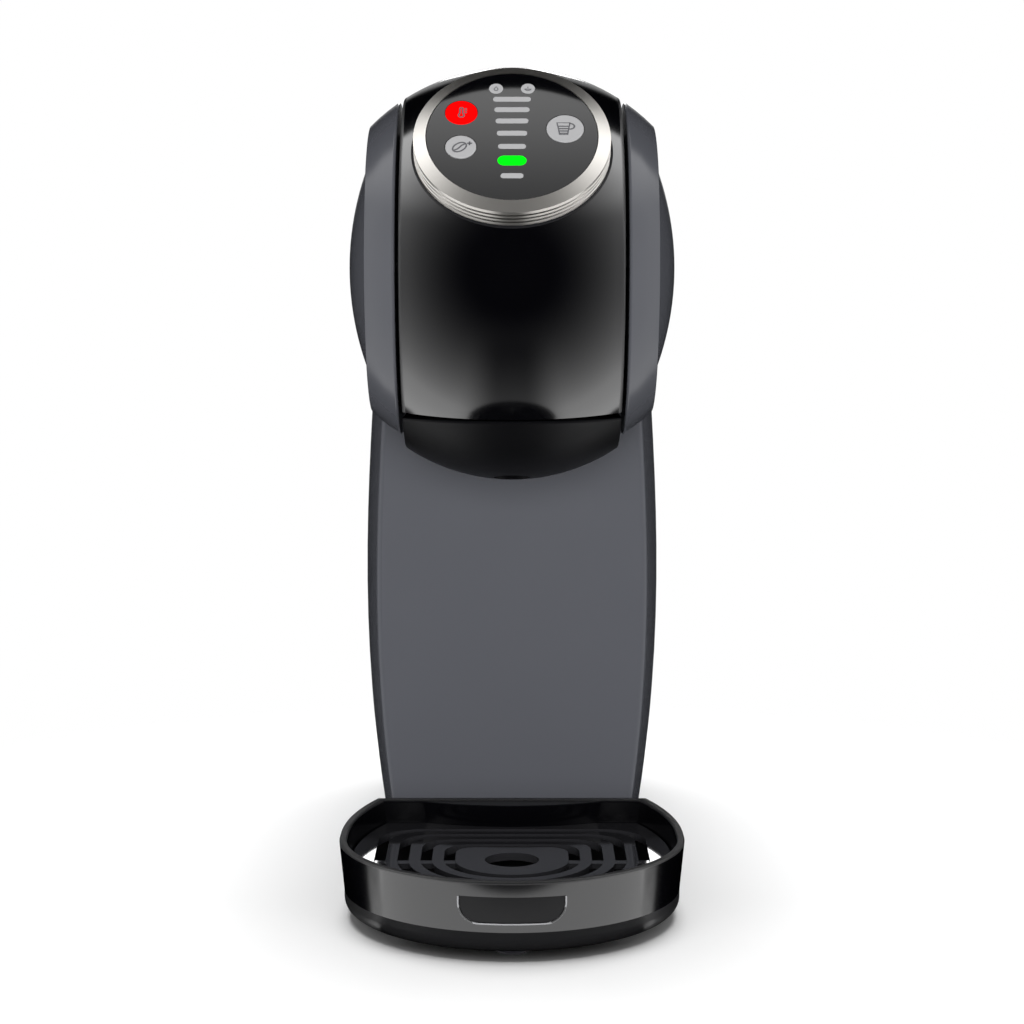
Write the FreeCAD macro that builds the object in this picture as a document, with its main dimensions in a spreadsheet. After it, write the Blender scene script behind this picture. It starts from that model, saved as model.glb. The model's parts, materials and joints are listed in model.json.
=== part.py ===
"""Slim pod coffee machine, modelled piece by piece as it comes apart on a bench.

Millimetres, +Z up. The origin is the middle of the footprint on the worktop, and -Y is the front.
The round head is a ball cut flat at both sides. A visor turns about the ball's middle and carries the
dial. The pod holder slides out below it, over a drip tray. The water tank stands behind the column.
"""
import FreeCAD, Part
import math
import os
import re
import Sketcher
from FreeCAD import Placement, Rotation, Vector

# Driving sizes, in millimetres and degrees
SIZES = [
    ("overall_depth", 279.0, "front of the tray to the back of the tank"),
    ("body_height", 278.0, "worktop to the top of the head"),
    ("wall", 2.5, "thickness of the housing walls"),
    ("seam", 0.3, "gap between neighbouring covers"),
    ("run_fit", 0.05, "radial clearance of a pin in its hole"),
    ("soft_edge", 0.6, "rounding of the outer edges"),
    ("head_radius", 66.0, "radius of the head's ball"),
    ("head_forward", 58.0, "head's middle in front of the origin"),
    ("cheek_half", 46.4, "middle to the flat side of a cheek"),
    ("slot_half", 36.4, "middle to the inner face of a cheek"),
    ("visor_gap", 1.2, "gap between the visor and a cheek"),
    ("dome_radius", 36.0, "radius of a side cap"),
    ("dome_rise", 7.3, "height of a side cap's dome"),
    ("cap_seat", 1.6, "depth of the recess that a side cap sits in"),
    ("visor_wall", 3.0, "thickness of the visor"),
    ("lip_drop", 46.4, "visor's lower edge below the head's middle"),
    ("lip_slope", 6.0, "slope of the visor's lower edge"),
    ("visor_back", 125.0, "angle of the visor's rear edge from straight ahead"),
    ("arm_low", 36.0, "angle of a visor arm below straight ahead"),
    ("arm_high", 60.0, "angle of a visor arm above straight ahead"),
    ("arm_wall", 3.4, "thickness of a visor arm"),
    ("liner_wall", 2.0, "thickness of the visor frame's liner"),
    ("boss_radius", 9.0, "radius of a visor arm's boss"),
    ("cover_start", 116.0, "angle where the fixed rear cover starts"),
    ("cover_gap", 1.5, "gap between the visor and the rear cover"),
    ("pin_radius", 4.0, "radius of a hinge pin"),
    ("pin_grip", 6.0, "depth of a hinge pin in its cheek"),
    ("pin_head", 2.0, "height of a hinge pin's head"),
    ("dial_tilt", 48.4, "dial's face from level"),
    ("dial_out", 49.5, "dial's face in front of the head's middle"),
    ("dial_up", 42.1, "dial's face above the head's middle"),
    ("ring_radius", 30.7, "outer radius of the selector ring"),
    ("ring_bore", 26.8, "inner radius of the selector ring's bezel"),
    ("bezel_rise", 1.35, "height of the ring's sloping bezel"),
    ("bezel_wall", 2.6, "dial's face to the underside of the bezel"),
    ("bore_step", 1.2, "ring's bore wider below the bezel"),
    ("ring_depth", 7.3, "dial's face to the foot of the ring"),
    ("ring_gap", 0.8, "gap round the ring"),
    ("groove_depth", 0.35, "depth of the fine grooves round the ring"),
    ("panel_gap", 0.25, "gap between the panel and the ring"),
    ("panel_wall", 1.8, "thickness of the control panel"),
    ("panel_sink", 0.2, "panel below the top of the bezel"),
    ("cup_wall", 1.5, "wall of the cup that carries the dial"),
    ("panel_ledge", 1.0, "width of the ledge under the panel"),
    ("board_ledge", 1.5, "width of the ledge under the circuit board"),
    ("board_seat", 5.0, "dial's face to the ledge under the circuit board"),
    ("board_wall", 1.6, "thickness of a circuit board"),
    ("light_depth", 1.0, "depth of the light windows in the panel"),
    ("key_proud", 0.15, "a key's top above the panel"),
    ("switch_radius", 2.5, "radius of a key's switch"),
    ("key_gap", 0.2, "gap round a key"),
    ("key_travel", 0.8, "travel of a key"),
    ("heat_key_radius", 5.0, "radius of the temperature key"),
    ("boost_key_radius", 4.8, "radius of the boost key"),
    ("cup_key_radius", 5.8, "radius of the large cup key"),
    ("side_keys_x", 15.8, "the two left keys left of the dial's middle"),
    ("heat_key_y", 9.9, "temperature key up the dial"),
    ("boost_key_y", -4.7, "boost key up the dial"),
    ("cup_key_x", 16.5, "cup key right of the dial's middle"),
    ("cup_key_y", 3.0, "cup key up the dial"),
    ("bar_first", 15.7, "top bar light up the dial"),
    ("bar_step", 4.5, "first step between bar lights"),
    ("bar_growth", 0.18, "growth of that step"),
    ("bar_width", 11.8, "width of the top bar light"),
    ("bar_narrowing", 0.8, "loss of width from bar to bar"),
    ("bar_height", 2.1, "height of a bar light"),
    ("lamp_radius", 2.2, "radius of an indicator lamp"),
    ("lamp_x", 5.0, "indicator lamp beside the dial's middle"),
    ("lamp_y", 20.3, "indicator lamp up the dial"),
    ("chin_radius", 63.0, "radius of the pod holder's rounded front"),
    ("chin_back", 3.0, "middle of that round behind the head's middle"),
    ("chin_down", 7.0, "middle of that round below the head's middle"),
    ("holder_gap", 0.5, "pod holder below the visor's lip"),
    ("pod_radius", 26.0, "radius of the pod's seat"),
    ("pod_forward", 10.0, "pod's middle in front of the head's middle"),
    ("pod_depth", 12.0, "depth of the pod's seat"),
    ("pod_taper", 9.5, "pod's seat narrower at its floor, each side"),
    ("flange_width", 1.6, "width of the liner's flange"),
    ("flange_wall", 1.2, "thickness of the liner's flange"),
    ("spout_radius", 6.0, "radius of the pod's outlet"),
    ("insert_wall", 1.4, "wall of the pod seat's liner"),
    ("runner_x", 23.0, "middle of a runner of the pod holder"),
    ("runner_width", 6.0, "width of a runner"),
    ("runner_height", 6.0, "height of a runner"),
    ("runner_drop", 3.4, "top of a runner below the holder's top"),
    ("runner_reach", 62.0, "length of a runner behind the holder"),
    ("rail_wall", 2.5, "wall of a guide rail"),
    ("deck_wall", 4.0, "thickness of the brewing deck"),
    ("stem_radius", 8.0, "radius of the needle carriage's stem"),
    ("stem_height", 20.0, "height of that stem"),
    ("ear_height", 10.0, "height of the carriage's ears"),
    ("ear_half", 24.0, "middle to the end of an ear"),
    ("post_x", 18.0, "guide post beside the middle"),
    ("post_radius", 3.0, "radius of a guide post"),
    ("post_height", 32.0, "height of a guide post above the deck"),
    ("needle_radius", 1.2, "radius of the needle"),
    ("needle_grip", 7.0, "depth of the needle in the carriage"),
    ("seal_radius", 6.0, "radius of the needle's seal"),
    ("seal_height", 1.5, "height of the needle's seal"),
    ("column_front", 28.0, "column's front face in front of the origin"),
    ("column_back", 50.0, "column's rear face behind the origin"),
    ("column_over", 2.0, "top of the column above the head's middle"),
    ("column_wide", 52.6, "half width of the column at its widest, halfway up"),
    ("foot_less", 7.4, "column narrower at its foot, each side"),
    ("low_less", 2.1, "column narrower at its lower section, each side"),
    ("low_share", 0.234, "height of that section as a share of the column's top"),
    ("high_less", 1.9, "column narrower at its upper section, each side"),
    ("high_share", 0.729, "height of that section as a share of the column's top"),
    ("top_less", 5.0, "column narrower at its top, each side"),
    ("column_mid_y", 8.0, "the column is widest this far behind the origin"),
    ("column_edge", 1.5, "rounding of the column's front edges"),
    ("column_bevel", 5.6, "column's front face narrower than its widest section, each side"),
    ("top_plate", 3.0, "thickness of the column's top cover"),
    ("plate_base", 4.5, "thickness of the base plate"),
    ("foot_height", 3.5, "height of the rubber feet"),
    ("foot_radius", 6.0, "radius of a rubber foot"),
    ("foot_x", 33.0, "rubber foot beside the middle"),
    ("foot_front", 15.0, "front feet in front of the origin"),
    ("foot_back", 108.0, "rear feet behind the origin"),
    ("base_inset", 0.5, "base plate inside the walls above it"),
    ("tank_gap", 1.0, "gap between the column and the tank"),
    ("tank_inset", 0.2, "tank narrower than the column's foot, each side"),
    ("tank_wall", 2.2, "wall of the tank"),
    ("tank_floor", 12.0, "underside of the tank above the worktop"),
    ("tank_below", 2.0, "rim of the tank below the top of the column"),
    ("tank_round", 26.0, "bulge of the tank's rear wall"),
    ("tank_corner", 8.0, "rounding of the tank's front corners"),
    ("lid_plate", 3.0, "thickness of the tank's lid"),
    ("hinge_back", 7.0, "lid's hinge behind the tank's front"),
    ("barrel_radius", 2.4, "radius of the lid's hinge barrel"),
    ("barrel_half", 20.0, "half length of that barrel"),
    ("hinge_ear", 6.0, "length of a hinge ear"),
    ("beam_half", 36.0, "half length of the beam that carries the ears"),
    ("beam_depth", 8.0, "depth of that beam below the rim"),
    ("valve_forward", 45.0, "tank's valve in front of the tank's back"),
    ("dock_radius", 22.0, "radius of the dock under the tank"),
    ("lid_pin_radius", 1.3, "radius of the lid's hinge pin"),
    ("valve_radius", 8.0, "radius of the tank's valve"),
    ("tray_width", 114.0, "width of the drip tray at its rim"),
    ("tray_rear", 47.4, "half width of the drip tray at the column"),
    ("tray_straight", 6.0, "straight part of the tray's sides"),
    ("tray_close", 1.0, "rear wall of the tray as thick as its sides"),
    ("tray_gap", 0.6, "gap between the column and what slides out in front of it"),
    ("tray_lift", 2.6, "underside of the drip tray above the worktop"),
    ("band_top", 9.5, "top of the tray's lower band above the worktop"),
    ("band_round", 4.5, "rounding of that band's lower edge"),
    ("rim_top", 26.1, "top of the tray's rim above the worktop"),
    ("rim_wall", 2.4, "thickness of the rim"),
    ("rim_taper", 1.6, "rim narrower at its foot, each side"),
    ("tray_wall", 2.2, "wall of the tray's basin"),
    ("grid_seat", 15.4, "grid's underside above the worktop"),
    ("grid_plate", 2.6, "thickness of the grid"),
    ("slot_width", 3.8, "width of a slot in the grid"),
    ("slot_pitch", 7.7, "step from slot to slot"),
    ("slot_margin", 11.3, "outermost slot inside the tray's widest outline"),
    ("slot_first", 0.24, "its rear edge from the tray's rear, as a share of the tray's rear half"),
    ("slot_step", 0.128, "step of the rear edges from slot to slot, as a share of that half"),
    ("slot_corner", 15.0, "rounding of the outermost slot's rear corners"),
    ("slot_shrink", 2.0, "loss of rounding from slot to slot"),
    ("grid_gap", 0.3, "gap round the grid"),
    ("basin_gap", 0.15, "gap between the basin and the rim"),
    ("rib_width", 4.0, "width of the ribs under the grid"),
    ("rib_drop", 0.8, "ribs below the top of the grid"),
    ("drain_radius", 9.0, "radius of the hole in the middle of the grid"),
    ("ledge_half", 34.0, "half width of the ledge at the back of the rim"),
    ("ledge_reach", 7.0, "reach of that ledge"),
    ("badge_half", 16.5, "half width of the plain plate on the tray's front"),
    ("badge_height", 8.5, "height of that plate"),
    ("badge_top", 21.0, "top of that plate above the worktop"),
    ("badge_round", 6.0, "rounding of its lower corners"),
    ("badge_sink", 0.8, "depth of its recess"),
    ("badge_wall", 0.5, "thickness of that plate"),
    ("tray_foot_radius", 5.0, "radius of a foot of the tray"),
    ("tray_foot_y", 124.0, "tray's front foot in front of the origin"),
    ("pump_radius", 17.0, "radius of the pump"),
    ("pump_height", 75.0, "height of the pump"),
    ("mount_height", 12.0, "height of the pump's rubber mount"),
    ("heater_height", 70.0, "height of the heater block"),
    ("board_half", 38.0, "half width of the main circuit board"),
    ("board_height", 60.0, "height of the main circuit board"),
    ("board_drop", 23.0, "top of that board below the brewing deck"),
    ("standoff", 2.0, "height of the board's stand-offs"),
    ("gland_radius", 5.0, "radius of the cord gland"),
    ("gland_bore", 3.2, "radius of the gland's bore"),
]
SHEET = "Sizes"
LIGHT_BAR_COUNT = 7
LIT_BAR_INDEX = 5
GRID_SLOT_COUNT = 4

# Places worked out from the driving sizes
DERIVED = {
    "front_y": "(-overall_depth / 2)",
    "back_y": "(overall_depth / 2)",
    "head_y": "(-head_forward)",
    "head_z": "(body_height - head_radius)",
    "visor_half": "(slot_half - visor_gap)",
    "visor_inner": "(head_radius - visor_wall)",
    "arm_inner_x": "(visor_half - arm_wall)",
    "frame_half": "(arm_inner_x - seam * 2)",
    "dial_y": "(head_y - dial_out)",
    "dial_z": "(head_z + dial_up)",
    "panel_radius": "(ring_bore - panel_gap)",
    "recess_radius": "(ring_radius + ring_gap)",
    "dial_floor": "(ring_depth + seam)",
    "bore_radius": "(ring_bore + bore_step)",
    "panel_back": "(panel_sink + panel_wall)",
    "spigot_inner": "(panel_radius - panel_ledge)",
    "frame_outer": "(visor_inner - run_fit)",
    "frame_inner": "(frame_outer - liner_wall)",
    "holder_top": "(head_z - lip_drop - holder_gap)",
    "holder_back": "(-column_front - tray_gap)",
    "chin_y": "(head_y + chin_back)",
    "chin_z": "(head_z - chin_down)",
    "pod_y": "(head_y - pod_forward)",
    "deck_z": "(holder_top + seam * 2)",
    "deck_top": "(deck_z + deck_wall)",
    "runner_top": "(holder_top - runner_drop)",
    "runner_low": "(runner_top - runner_height)",
    "runner_in": "(runner_x - runner_width / 2)",
    "runner_out": "(runner_x + runner_width / 2)",
    "column_top": "(head_z + column_over)",
    "column_foot_half": "(column_wide - foot_less)",
    "board_low": "(deck_z - board_drop - board_height)",
    "inner_front": "(wall - column_front)",
    "inner_back": "(column_back - wall)",
    "base_low": "foot_height",
    "base_top": "(foot_height + plate_base)",
    "tank_front": "(column_back + tank_gap)",
    "tank_half": "(column_foot_half - tank_inset)",
    "tank_top": "(column_top - tank_below)",
    "tray_mid_y": "(front_y + tray_width / 2)",
    "tray_back": "(-column_front - tray_gap)",
    "tray_length": "(tray_back - tray_mid_y)",
    "slot_outer": "(tray_width / 2 - slot_margin)",
    "slot_rear": "(tray_back - tray_length * slot_first)",
    "grid_top": "(grid_seat + grid_plate)",
    "basin_inset": "(rim_taper + rim_wall + basin_gap)",
    "grid_inset": "(rim_wall + rim_taper * (rim_top - grid_seat) / (rim_top - band_top) + grid_gap)",
    "lid_top": "(tank_top + seam + lid_plate)",
    "hinge_y": "(tank_front + hinge_back)",
    "hinge_z": "(tank_top + seam + lid_plate / 2)",
    "valve_y": "(back_y - valve_forward)",
}

doc = FreeCAD.newDocument("pod_coffee_machine")
sheet = doc.addObject("Spreadsheet::Sheet", SHEET)
for row, (alias, value, words) in enumerate(SIZES, start=1):
    sheet.set(f"A{row}", words)
    sheet.set(f"B{row}", str(value))
    sheet.setAlias(f"B{row}", alias)
doc.recompute()

ALIASES = {alias for alias, _, _ in SIZES}
PARTS = []


def spell(text):
    """An expression in plain size names, written out as the document's own expression."""
    text = str(text)
    while any(re.search(rf"\b{name}\b", text) for name in DERIVED):
        text = re.sub(r"[a-z_]\w*", lambda m: DERIVED.get(m[0], m[0]), text)
    return re.sub(r"[a-z_]\w*", lambda m: f"{SHEET}.{m[0]}" if m[0] in ALIASES else m[0], text)


def size(text):
    """The value of an expression, in millimetres or degrees."""
    return float(sheet.evalExpression(spell(text)))


def bind(item, **sizes):
    """Binds an object's properties to expressions of the sheet."""
    for name, text in sizes.items():
        item.setExpression(name, spell(text))
    return item


def put(item, x="0", y="0", z="0", axis=None, angle="0"):
    """Places an object, with its place and its turn bound to the sheet."""
    turn = Rotation(axis, size(angle)) if axis else Rotation()
    item.Placement = Placement(Vector(size(x), size(y), size(z)), turn)
    for name, text in (("x", x), ("y", y), ("z", z)):
        item.setExpression(f"Placement.Base.{name}", spell(text))
    if axis:
        item.setExpression("Placement.Rotation.Angle", spell(angle))
    return item


def tilt(item):
    """Sets an object made about the dial's own axis, with its face at zero, into its place on the head."""
    return put(item, "0", "dial_y", "dial_z", Vector(1, 0, 0), "dial_tilt")


def box(name, x0, x1, y0, y1, z0, z1):
    item = doc.addObject("Part::Box", name)
    bind(item, Length=f"({x1}) - ({x0})", Width=f"({y1}) - ({y0})", Height=f"({z1}) - ({z0})")
    return put(item, x0, y0, z0)


def cylinder(name, radius, height, x="0", y="0", z="0", axis=None, angle="0"):
    item = doc.addObject("Part::Cylinder", name)
    bind(item, Radius=radius, Height=height)
    return put(item, x, y, z, axis, angle)


def rod(name, radius, x0, x1, y, z):
    """A round bar along X."""
    return cylinder(name, radius, f"({x1}) - ({x0})", x0, y, z, Vector(0, 1, 0), "90")


def ball(name, radius, x, y, z):
    item = doc.addObject("Part::Sphere", name)
    bind(item, Radius=radius)
    return put(item, x, y, z, Vector(0, 1, 0), "90")


def cut(name, base, *tools):
    for step, tool in enumerate(tools):
        item = doc.addObject("Part::Cut", f"{name}_{step}" if step < len(tools) - 1 else name)
        item.Base, item.Tool = base, tool
        base = item
    return base


def fuse(name, *items):
    item = doc.addObject("Part::MultiFuse", name)
    item.Shapes = list(items)
    item.Refine = True
    return item


def common(name, *items):
    item = doc.addObject("Part::MultiCommon", name)
    item.Shapes = list(items)
    return item


def group(name, *items):
    """Several separate solids of one kind, kept as one piece."""
    item = doc.addObject("Part::Compound", name)
    item.Links = list(items)
    return item


def soften(name, base, radius, wanted):
    """Rounds the edges that the test picks."""
    doc.recompute()
    picked = [n for n, edge in enumerate(base.Shape.Edges, start=1) if wanted(edge)]
    item = doc.addObject("Part::Fillet", name)
    item.Base = base
    item.Edges = [(n, size(radius), size(radius)) for n in picked]
    return item


def piece(label, item):
    """Keeps an object as one named piece of the machine."""
    item.Label = label
    PARTS.append(item)
    return item


def mirrored(name, item):
    """The same form on the other side of the machine."""
    copy = doc.addObject("Part::Mirroring", name)
    copy.Source = item
    copy.Normal = Vector(1, 0, 0)
    return copy


def draw(sketch, corners):
    """Draws a closed outline: each corner is (x, y) or (x, y, (mid x, mid y)), where the stretch that
    leads to the next corner is an arc through that middle point. Corners are bound to the sheet."""
    points = [Vector(size(c[0]), size(c[1]), 0) for c in corners]
    first = sketch.GeometryCount
    for n, corner in enumerate(corners):
        start, end = points[n], points[(n + 1) % len(points)]
        if len(corner) == 2:
            sketch.addGeometry(Part.LineSegment(start, end))
        else:
            middle = Vector(size(corner[2][0]), size(corner[2][1]), 0)
            left_turn = (middle - start).cross(end - middle).z > 0
            sketch.addGeometry(Part.Arc(start, middle, end) if left_turn else Part.Arc(end, middle, start))
    ends = []
    for n in range(len(corners)):
        curve = sketch.Geometry[first + n]
        forward = (curve.StartPoint - points[n]).Length < 1e-6
        ends.append((1, 2) if forward else (2, 1))
    for n, corner in enumerate(corners):
        here, after = first + n, first + (n + 1) % len(corners)
        sketch.addConstraint(
            Sketcher.Constraint("Coincident", here, ends[n][1], after, ends[(n + 1) % len(corners)][0])
        )
        for kind, text, value in (("DistanceX", corner[0], points[n].x), ("DistanceY", corner[1], points[n].y)):
            number = sketch.addConstraint(Sketcher.Constraint(kind, -1, 1, here, ends[n][0], value))
            sketch.setExpression(f"Constraints[{number}]", spell(text))
        if len(corner) == 3:
            chord = points[(n + 1) % len(points)] - points[n]
            centre = sketch.Geometry[here].Center
            steep = abs(chord.y) > abs(chord.x)
            kind, value = ("DistanceX", centre.x) if steep else ("DistanceY", centre.y)
            sketch.addConstraint(Sketcher.Constraint(kind, -1, 1, here, 3, value))
    return sketch


def new_sketch(body, name, plane):
    sketch = body.newObject("Sketcher::SketchObject", name)
    support = next(f for f in body.Origin.OriginFeatures if f.Role == plane)
    sketch.AttachmentSupport = [(support, "")]
    sketch.MapMode = "FlatFace"
    return sketch


def padded(name, height, *outlines, plane="XY_Plane"):
    """A body padded from one sketch of closed outlines: the first is the rim, the rest are holes."""
    body = doc.addObject("PartDesign::Body", name)
    sketch = new_sketch(body, f"{name}_sketch", plane)
    for corners in outlines:
        draw(sketch, corners)
    pad = body.newObject("PartDesign::Pad", f"{name}_pad")
    pad.Profile = sketch
    bind(pad, Length=height)
    return body


def turned(name, corners):
    """A body turned about its own Z axis from a half section in the XZ plane."""
    body = doc.addObject("PartDesign::Body", name)
    sketch = new_sketch(body, f"{name}_sketch", "XZ_Plane")
    draw(sketch, corners)
    turn = body.newObject("PartDesign::Revolution", f"{name}_turn")
    turn.Profile = sketch
    turn.ReferenceAxis = (sketch, ["V_Axis"])
    turn.Angle = 360
    return body


def loft(name, sections):
    """A solid through level outlines, each given as (height, corners)."""
    sketches = []
    for n, (height, corners) in enumerate(sections):
        sketch = doc.addObject("Sketcher::SketchObject", f"{name}_section{n}")
        put(sketch, "0", "0", height)
        sketches.append(draw(sketch, corners))
    item = doc.addObject("Part::Loft", name)
    item.Sections = sketches
    item.Solid = True
    item.Ruled = False
    return item


def wedge(name, low, high, x0, x1, reach="head_radius * 2.5"):
    """A sector about the head's cross axis, between two angles from straight ahead."""
    spokes = [low, f"(({low}) + ({high})) / 2", high]
    corners = [("head_y", "head_z")]
    corners += [(f"head_y - ({reach}) * cos({a})", f"head_z + ({reach}) * sin({a})") for a in spokes]
    body = padded(name, f"({x1}) - ({x0})", corners, plane="YZ_Plane")
    return put(body, x0)


# Column: a tall tube with bowed sides, cut into a front cover, two side walls and a rear panel
def column_plan(half, inset):
    """Plan of the column for a given half width, moved inwards by a wall."""
    front = f"-column_front + {inset}"
    back = f"column_back - {inset}"
    crease = f"{half} - column_bevel - {inset}"
    side = f"{half} - {inset}"
    rear = f"{half} - 1 - {inset}"
    edge = "column_edge"
    corner = (f"{crease} - {edge} * 0.25", f"{front} + {edge} * 0.3")
    bow = (side, "column_mid_y")
    return [
        (f"-({crease} - {edge})", front),
        (f"{crease} - {edge}", front, corner),
        (f"{crease} + {edge} * 0.2", f"{front} + {edge}", bow),
        (rear, back),
        (f"-({rear})", back, (f"-({side})", "column_mid_y")),
        (f"-({crease} + {edge} * 0.2)", f"{front} + {edge}", (f"-({corner[0]})", corner[1])),
    ]


def column(name, inset, spare):
    heights = [
        (f"base_top - {spare}", "column_foot_half"),
        ("column_top * low_share", "(column_wide - low_less)"),
        ("column_top / 2", "column_wide"),
        ("column_top * high_share", "(column_wide - high_less)"),
        (f"column_top + {spare}", "(column_wide - top_less)"),
    ]
    return loft(name, [(z, column_plan(half, inset)) for z, half in heights])


FAR = "overall_depth * 2"
column_outer = column("column_outer", "0", "0")
column_inner = column("column_inner", "wall", "1")
column_skin = cut("column_skin", column_outer, column_inner)
front_zone = box("front_zone", f"-{FAR}", FAR, f"-{FAR}", "inner_front", f"-{FAR}", FAR)
rear_zone = box("rear_zone", f"-{FAR}", FAR, "inner_back", FAR, f"-{FAR}", FAR)
side_zone = box("side_zone", "0", FAR, "inner_front + seam", "inner_back - seam", f"-{FAR}", FAR)

# Cheek: the ball's outer slice on one side, with the seat of its domed cap and of a hinge pin
head_ball = ball("head_ball", "head_radius", "0", "head_y", "head_z")
cheek_zone = box("cheek_zone", "slot_half", "cheek_half", f"-{FAR}", FAR, "0", FAR)
cheek_slice = common("cheek_slice", head_ball, cheek_zone)
cheek_soft = soften("cheek_soft", cheek_slice, "soft_edge", lambda edge: edge.Closed)
cap_recess = rod("cap_recess", "dome_radius", "cheek_half - cap_seat", "cheek_half + 1", "head_y", "head_z")
pin_hole = rod("pin_hole", "pin_radius", "slot_half - 1", "slot_half + pin_grip", "head_y", "head_z")
side_wall = common("side_wall", column_skin, side_zone)
shell_blank = fuse("shell_blank", cheek_soft, side_wall)
right_shell = piece("right_shell", cut("right_shell", shell_blank, cap_recess, pin_hole))

# The power cord leaves low at the back of the left side
gland_place = ("column_back - 14", "base_top + 10")
gland_hole = rod("gland_hole", "gland_radius", "-column_wide - 5", "-column_foot_half / 2", *gland_place)
left_shell = piece("left_shell", cut("left_shell", mirrored("left_blank", right_shell), gland_hole))
gland_tube = rod("gland_tube", "gland_radius", "-column_foot_half - 3", "-column_foot_half + 6", *gland_place)
gland_bore = rod("gland_through", "gland_bore", "-column_wide - 5", "-column_foot_half / 2", *gland_place)
piece("cord_gland", cut("cord_gland", gland_tube, gland_bore))

cap_height = size("dome_rise") - size("seam")
cap_ball = (size("dome_radius - seam / 2") ** 2 + cap_height ** 2) / (2 * cap_height)
cap_turn = math.asin(size("dome_radius - seam / 2") / cap_ball) / 2
cap_middle = (cap_ball * math.sin(cap_turn), size("dome_rise") - cap_ball * (1 - math.cos(cap_turn)))
side_cap = turned("side_cap", [
    ("0", "-cap_seat"),
    ("dome_radius - seam / 2", "-cap_seat"),
    ("dome_radius - seam / 2", "seam", cap_middle),
    ("0", "dome_rise"),
])
put(side_cap, "cheek_half", "head_y", "head_z", Vector(0, 1, 0), "90")
piece("right_side_cap", side_cap)
piece("left_side_cap", mirrored("left_cap", side_cap))

pin_shank = rod("pin_shank", "pin_radius", "frame_half", "slot_half + pin_grip", "head_y", "head_z")
pin_top = rod("pin_top", "pin_radius * 1.5", "frame_half + seam - pin_head", "frame_half + seam", "head_y", "head_z")
pin_right = fuse("pin_right", pin_shank, pin_top)
piece("hinge_pins", group("hinge_pins", pin_right, mirrored("pin_left", pin_right)))

# Front cover under the head: it follows the ball above and leaves a window for the holder's runners
front_blank = common("front_blank", column_skin, front_zone)
head_room = ball("head_room", "head_radius + seam", "0", "head_y", "head_z")
runner_window = box("runner_window", "-runner_out - 1", "runner_out + 1", f"-{FAR}", "0",
                    "runner_low - 1", FAR)
piece("column_front", cut("column_front", front_blank, head_room, runner_window))
piece("rear_panel", common("rear_panel", column_skin, rear_zone))

# Top of the column behind the head, and the fixed cover that the visor's tail slides over
top_zone = box("top_zone", f"-{FAR}", FAR, "-column_front / 2", "inner_back", "column_top - top_plate", "column_top")
top_blank = common("top_blank", column_inner, top_zone)
cheek_room = common("cheek_room", head_room, box("cheek_side", "slot_half - seam", FAR, f"-{FAR}", FAR, "0", FAR))
cover_room = ball("cover_room", "visor_inner - cover_gap - wall - 1", "0", "head_y", "head_z")
piece("top_cover", cut("top_cover", top_blank, cheek_room, mirrored("cheek_room_left", cheek_room), cover_room))

cover_outer = ball("cover_outer", "visor_inner - cover_gap", "0", "head_y", "head_z")
cover_inner = ball("cover_inner", "visor_inner - cover_gap - wall", "0", "head_y", "head_z")
cover_shell = cut("cover_shell", cover_outer, cover_inner)
cover_sector = wedge("cover_sector", "cover_start", "190", "-slot_half + seam", "slot_half - seam")
cover_base = box("cover_base", f"-{FAR}", FAR, f"-{FAR}", FAR, "0", "column_top")
piece("head_rear_cover", cut("head_rear_cover", common("cover_cut", cover_shell, cover_sector), cover_base))

# Visor: a band of the ball's skin with rounded sides, turned about the head's cross axis, from its sloping lip
# over the top to the rear edge
def chord(radius, offset):
    """Half chord of a circle at a distance from its middle."""
    return f"sqrt(({radius}) * ({radius}) - ({offset}) * ({offset}))"


inner_edge, outer_edge = chord("visor_inner", "visor_half"), chord("head_radius", "visor_half")
round_end = chord("head_radius", "visor_half - soft_edge")
visor_ring = turned("visor_ring", [
    (inner_edge, "-visor_half"),
    (f"{outer_edge} - soft_edge", "-visor_half", (f"{outer_edge} - soft_edge * 0.2", "soft_edge * 0.2 - visor_half")),
    (round_end, "soft_edge - visor_half", ("head_radius", "0")),
    (round_end, "visor_half - soft_edge", (f"{outer_edge} - soft_edge * 0.2", "visor_half - soft_edge * 0.2")),
    (f"{outer_edge} - soft_edge", "visor_half"),
    (inner_edge, "visor_half", ("visor_inner", "0")),
])
put(visor_ring, "0", "head_y", "head_z", Vector(0, 1, 0), "90")
lip_out = chord("head_radius", "lip_drop")
lip_rise = "tan(lip_slope)"
visor_outline = [
    ("head_y", "head_z"),
    (f"head_y - {lip_out} / 2", f"head_z - lip_drop + {lip_out} / 2 * {lip_rise}"),
    (f"head_y - {lip_out} * 2", f"head_z - lip_drop - {lip_out} * {lip_rise}"),
    ("head_y - head_radius * 2", "head_z + head_radius * 2"),
    ("head_y - head_radius * 2.5 * cos(visor_back)", "head_z + head_radius * 2.5 * sin(visor_back)"),
]
visor_sector = put(padded("visor_sector", "slot_half * 2", visor_outline, plane="YZ_Plane"), "-slot_half")
visor_band = common("visor_band", visor_ring, visor_sector)
dial_recess = tilt(group("dial_recess", cylinder("dial_recess_tool", "recess_radius", "head_radius",
                                                 z="-dial_floor - cup_wall")))
piece("visor_shell", cut("visor_shell", visor_band, dial_recess))

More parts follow.
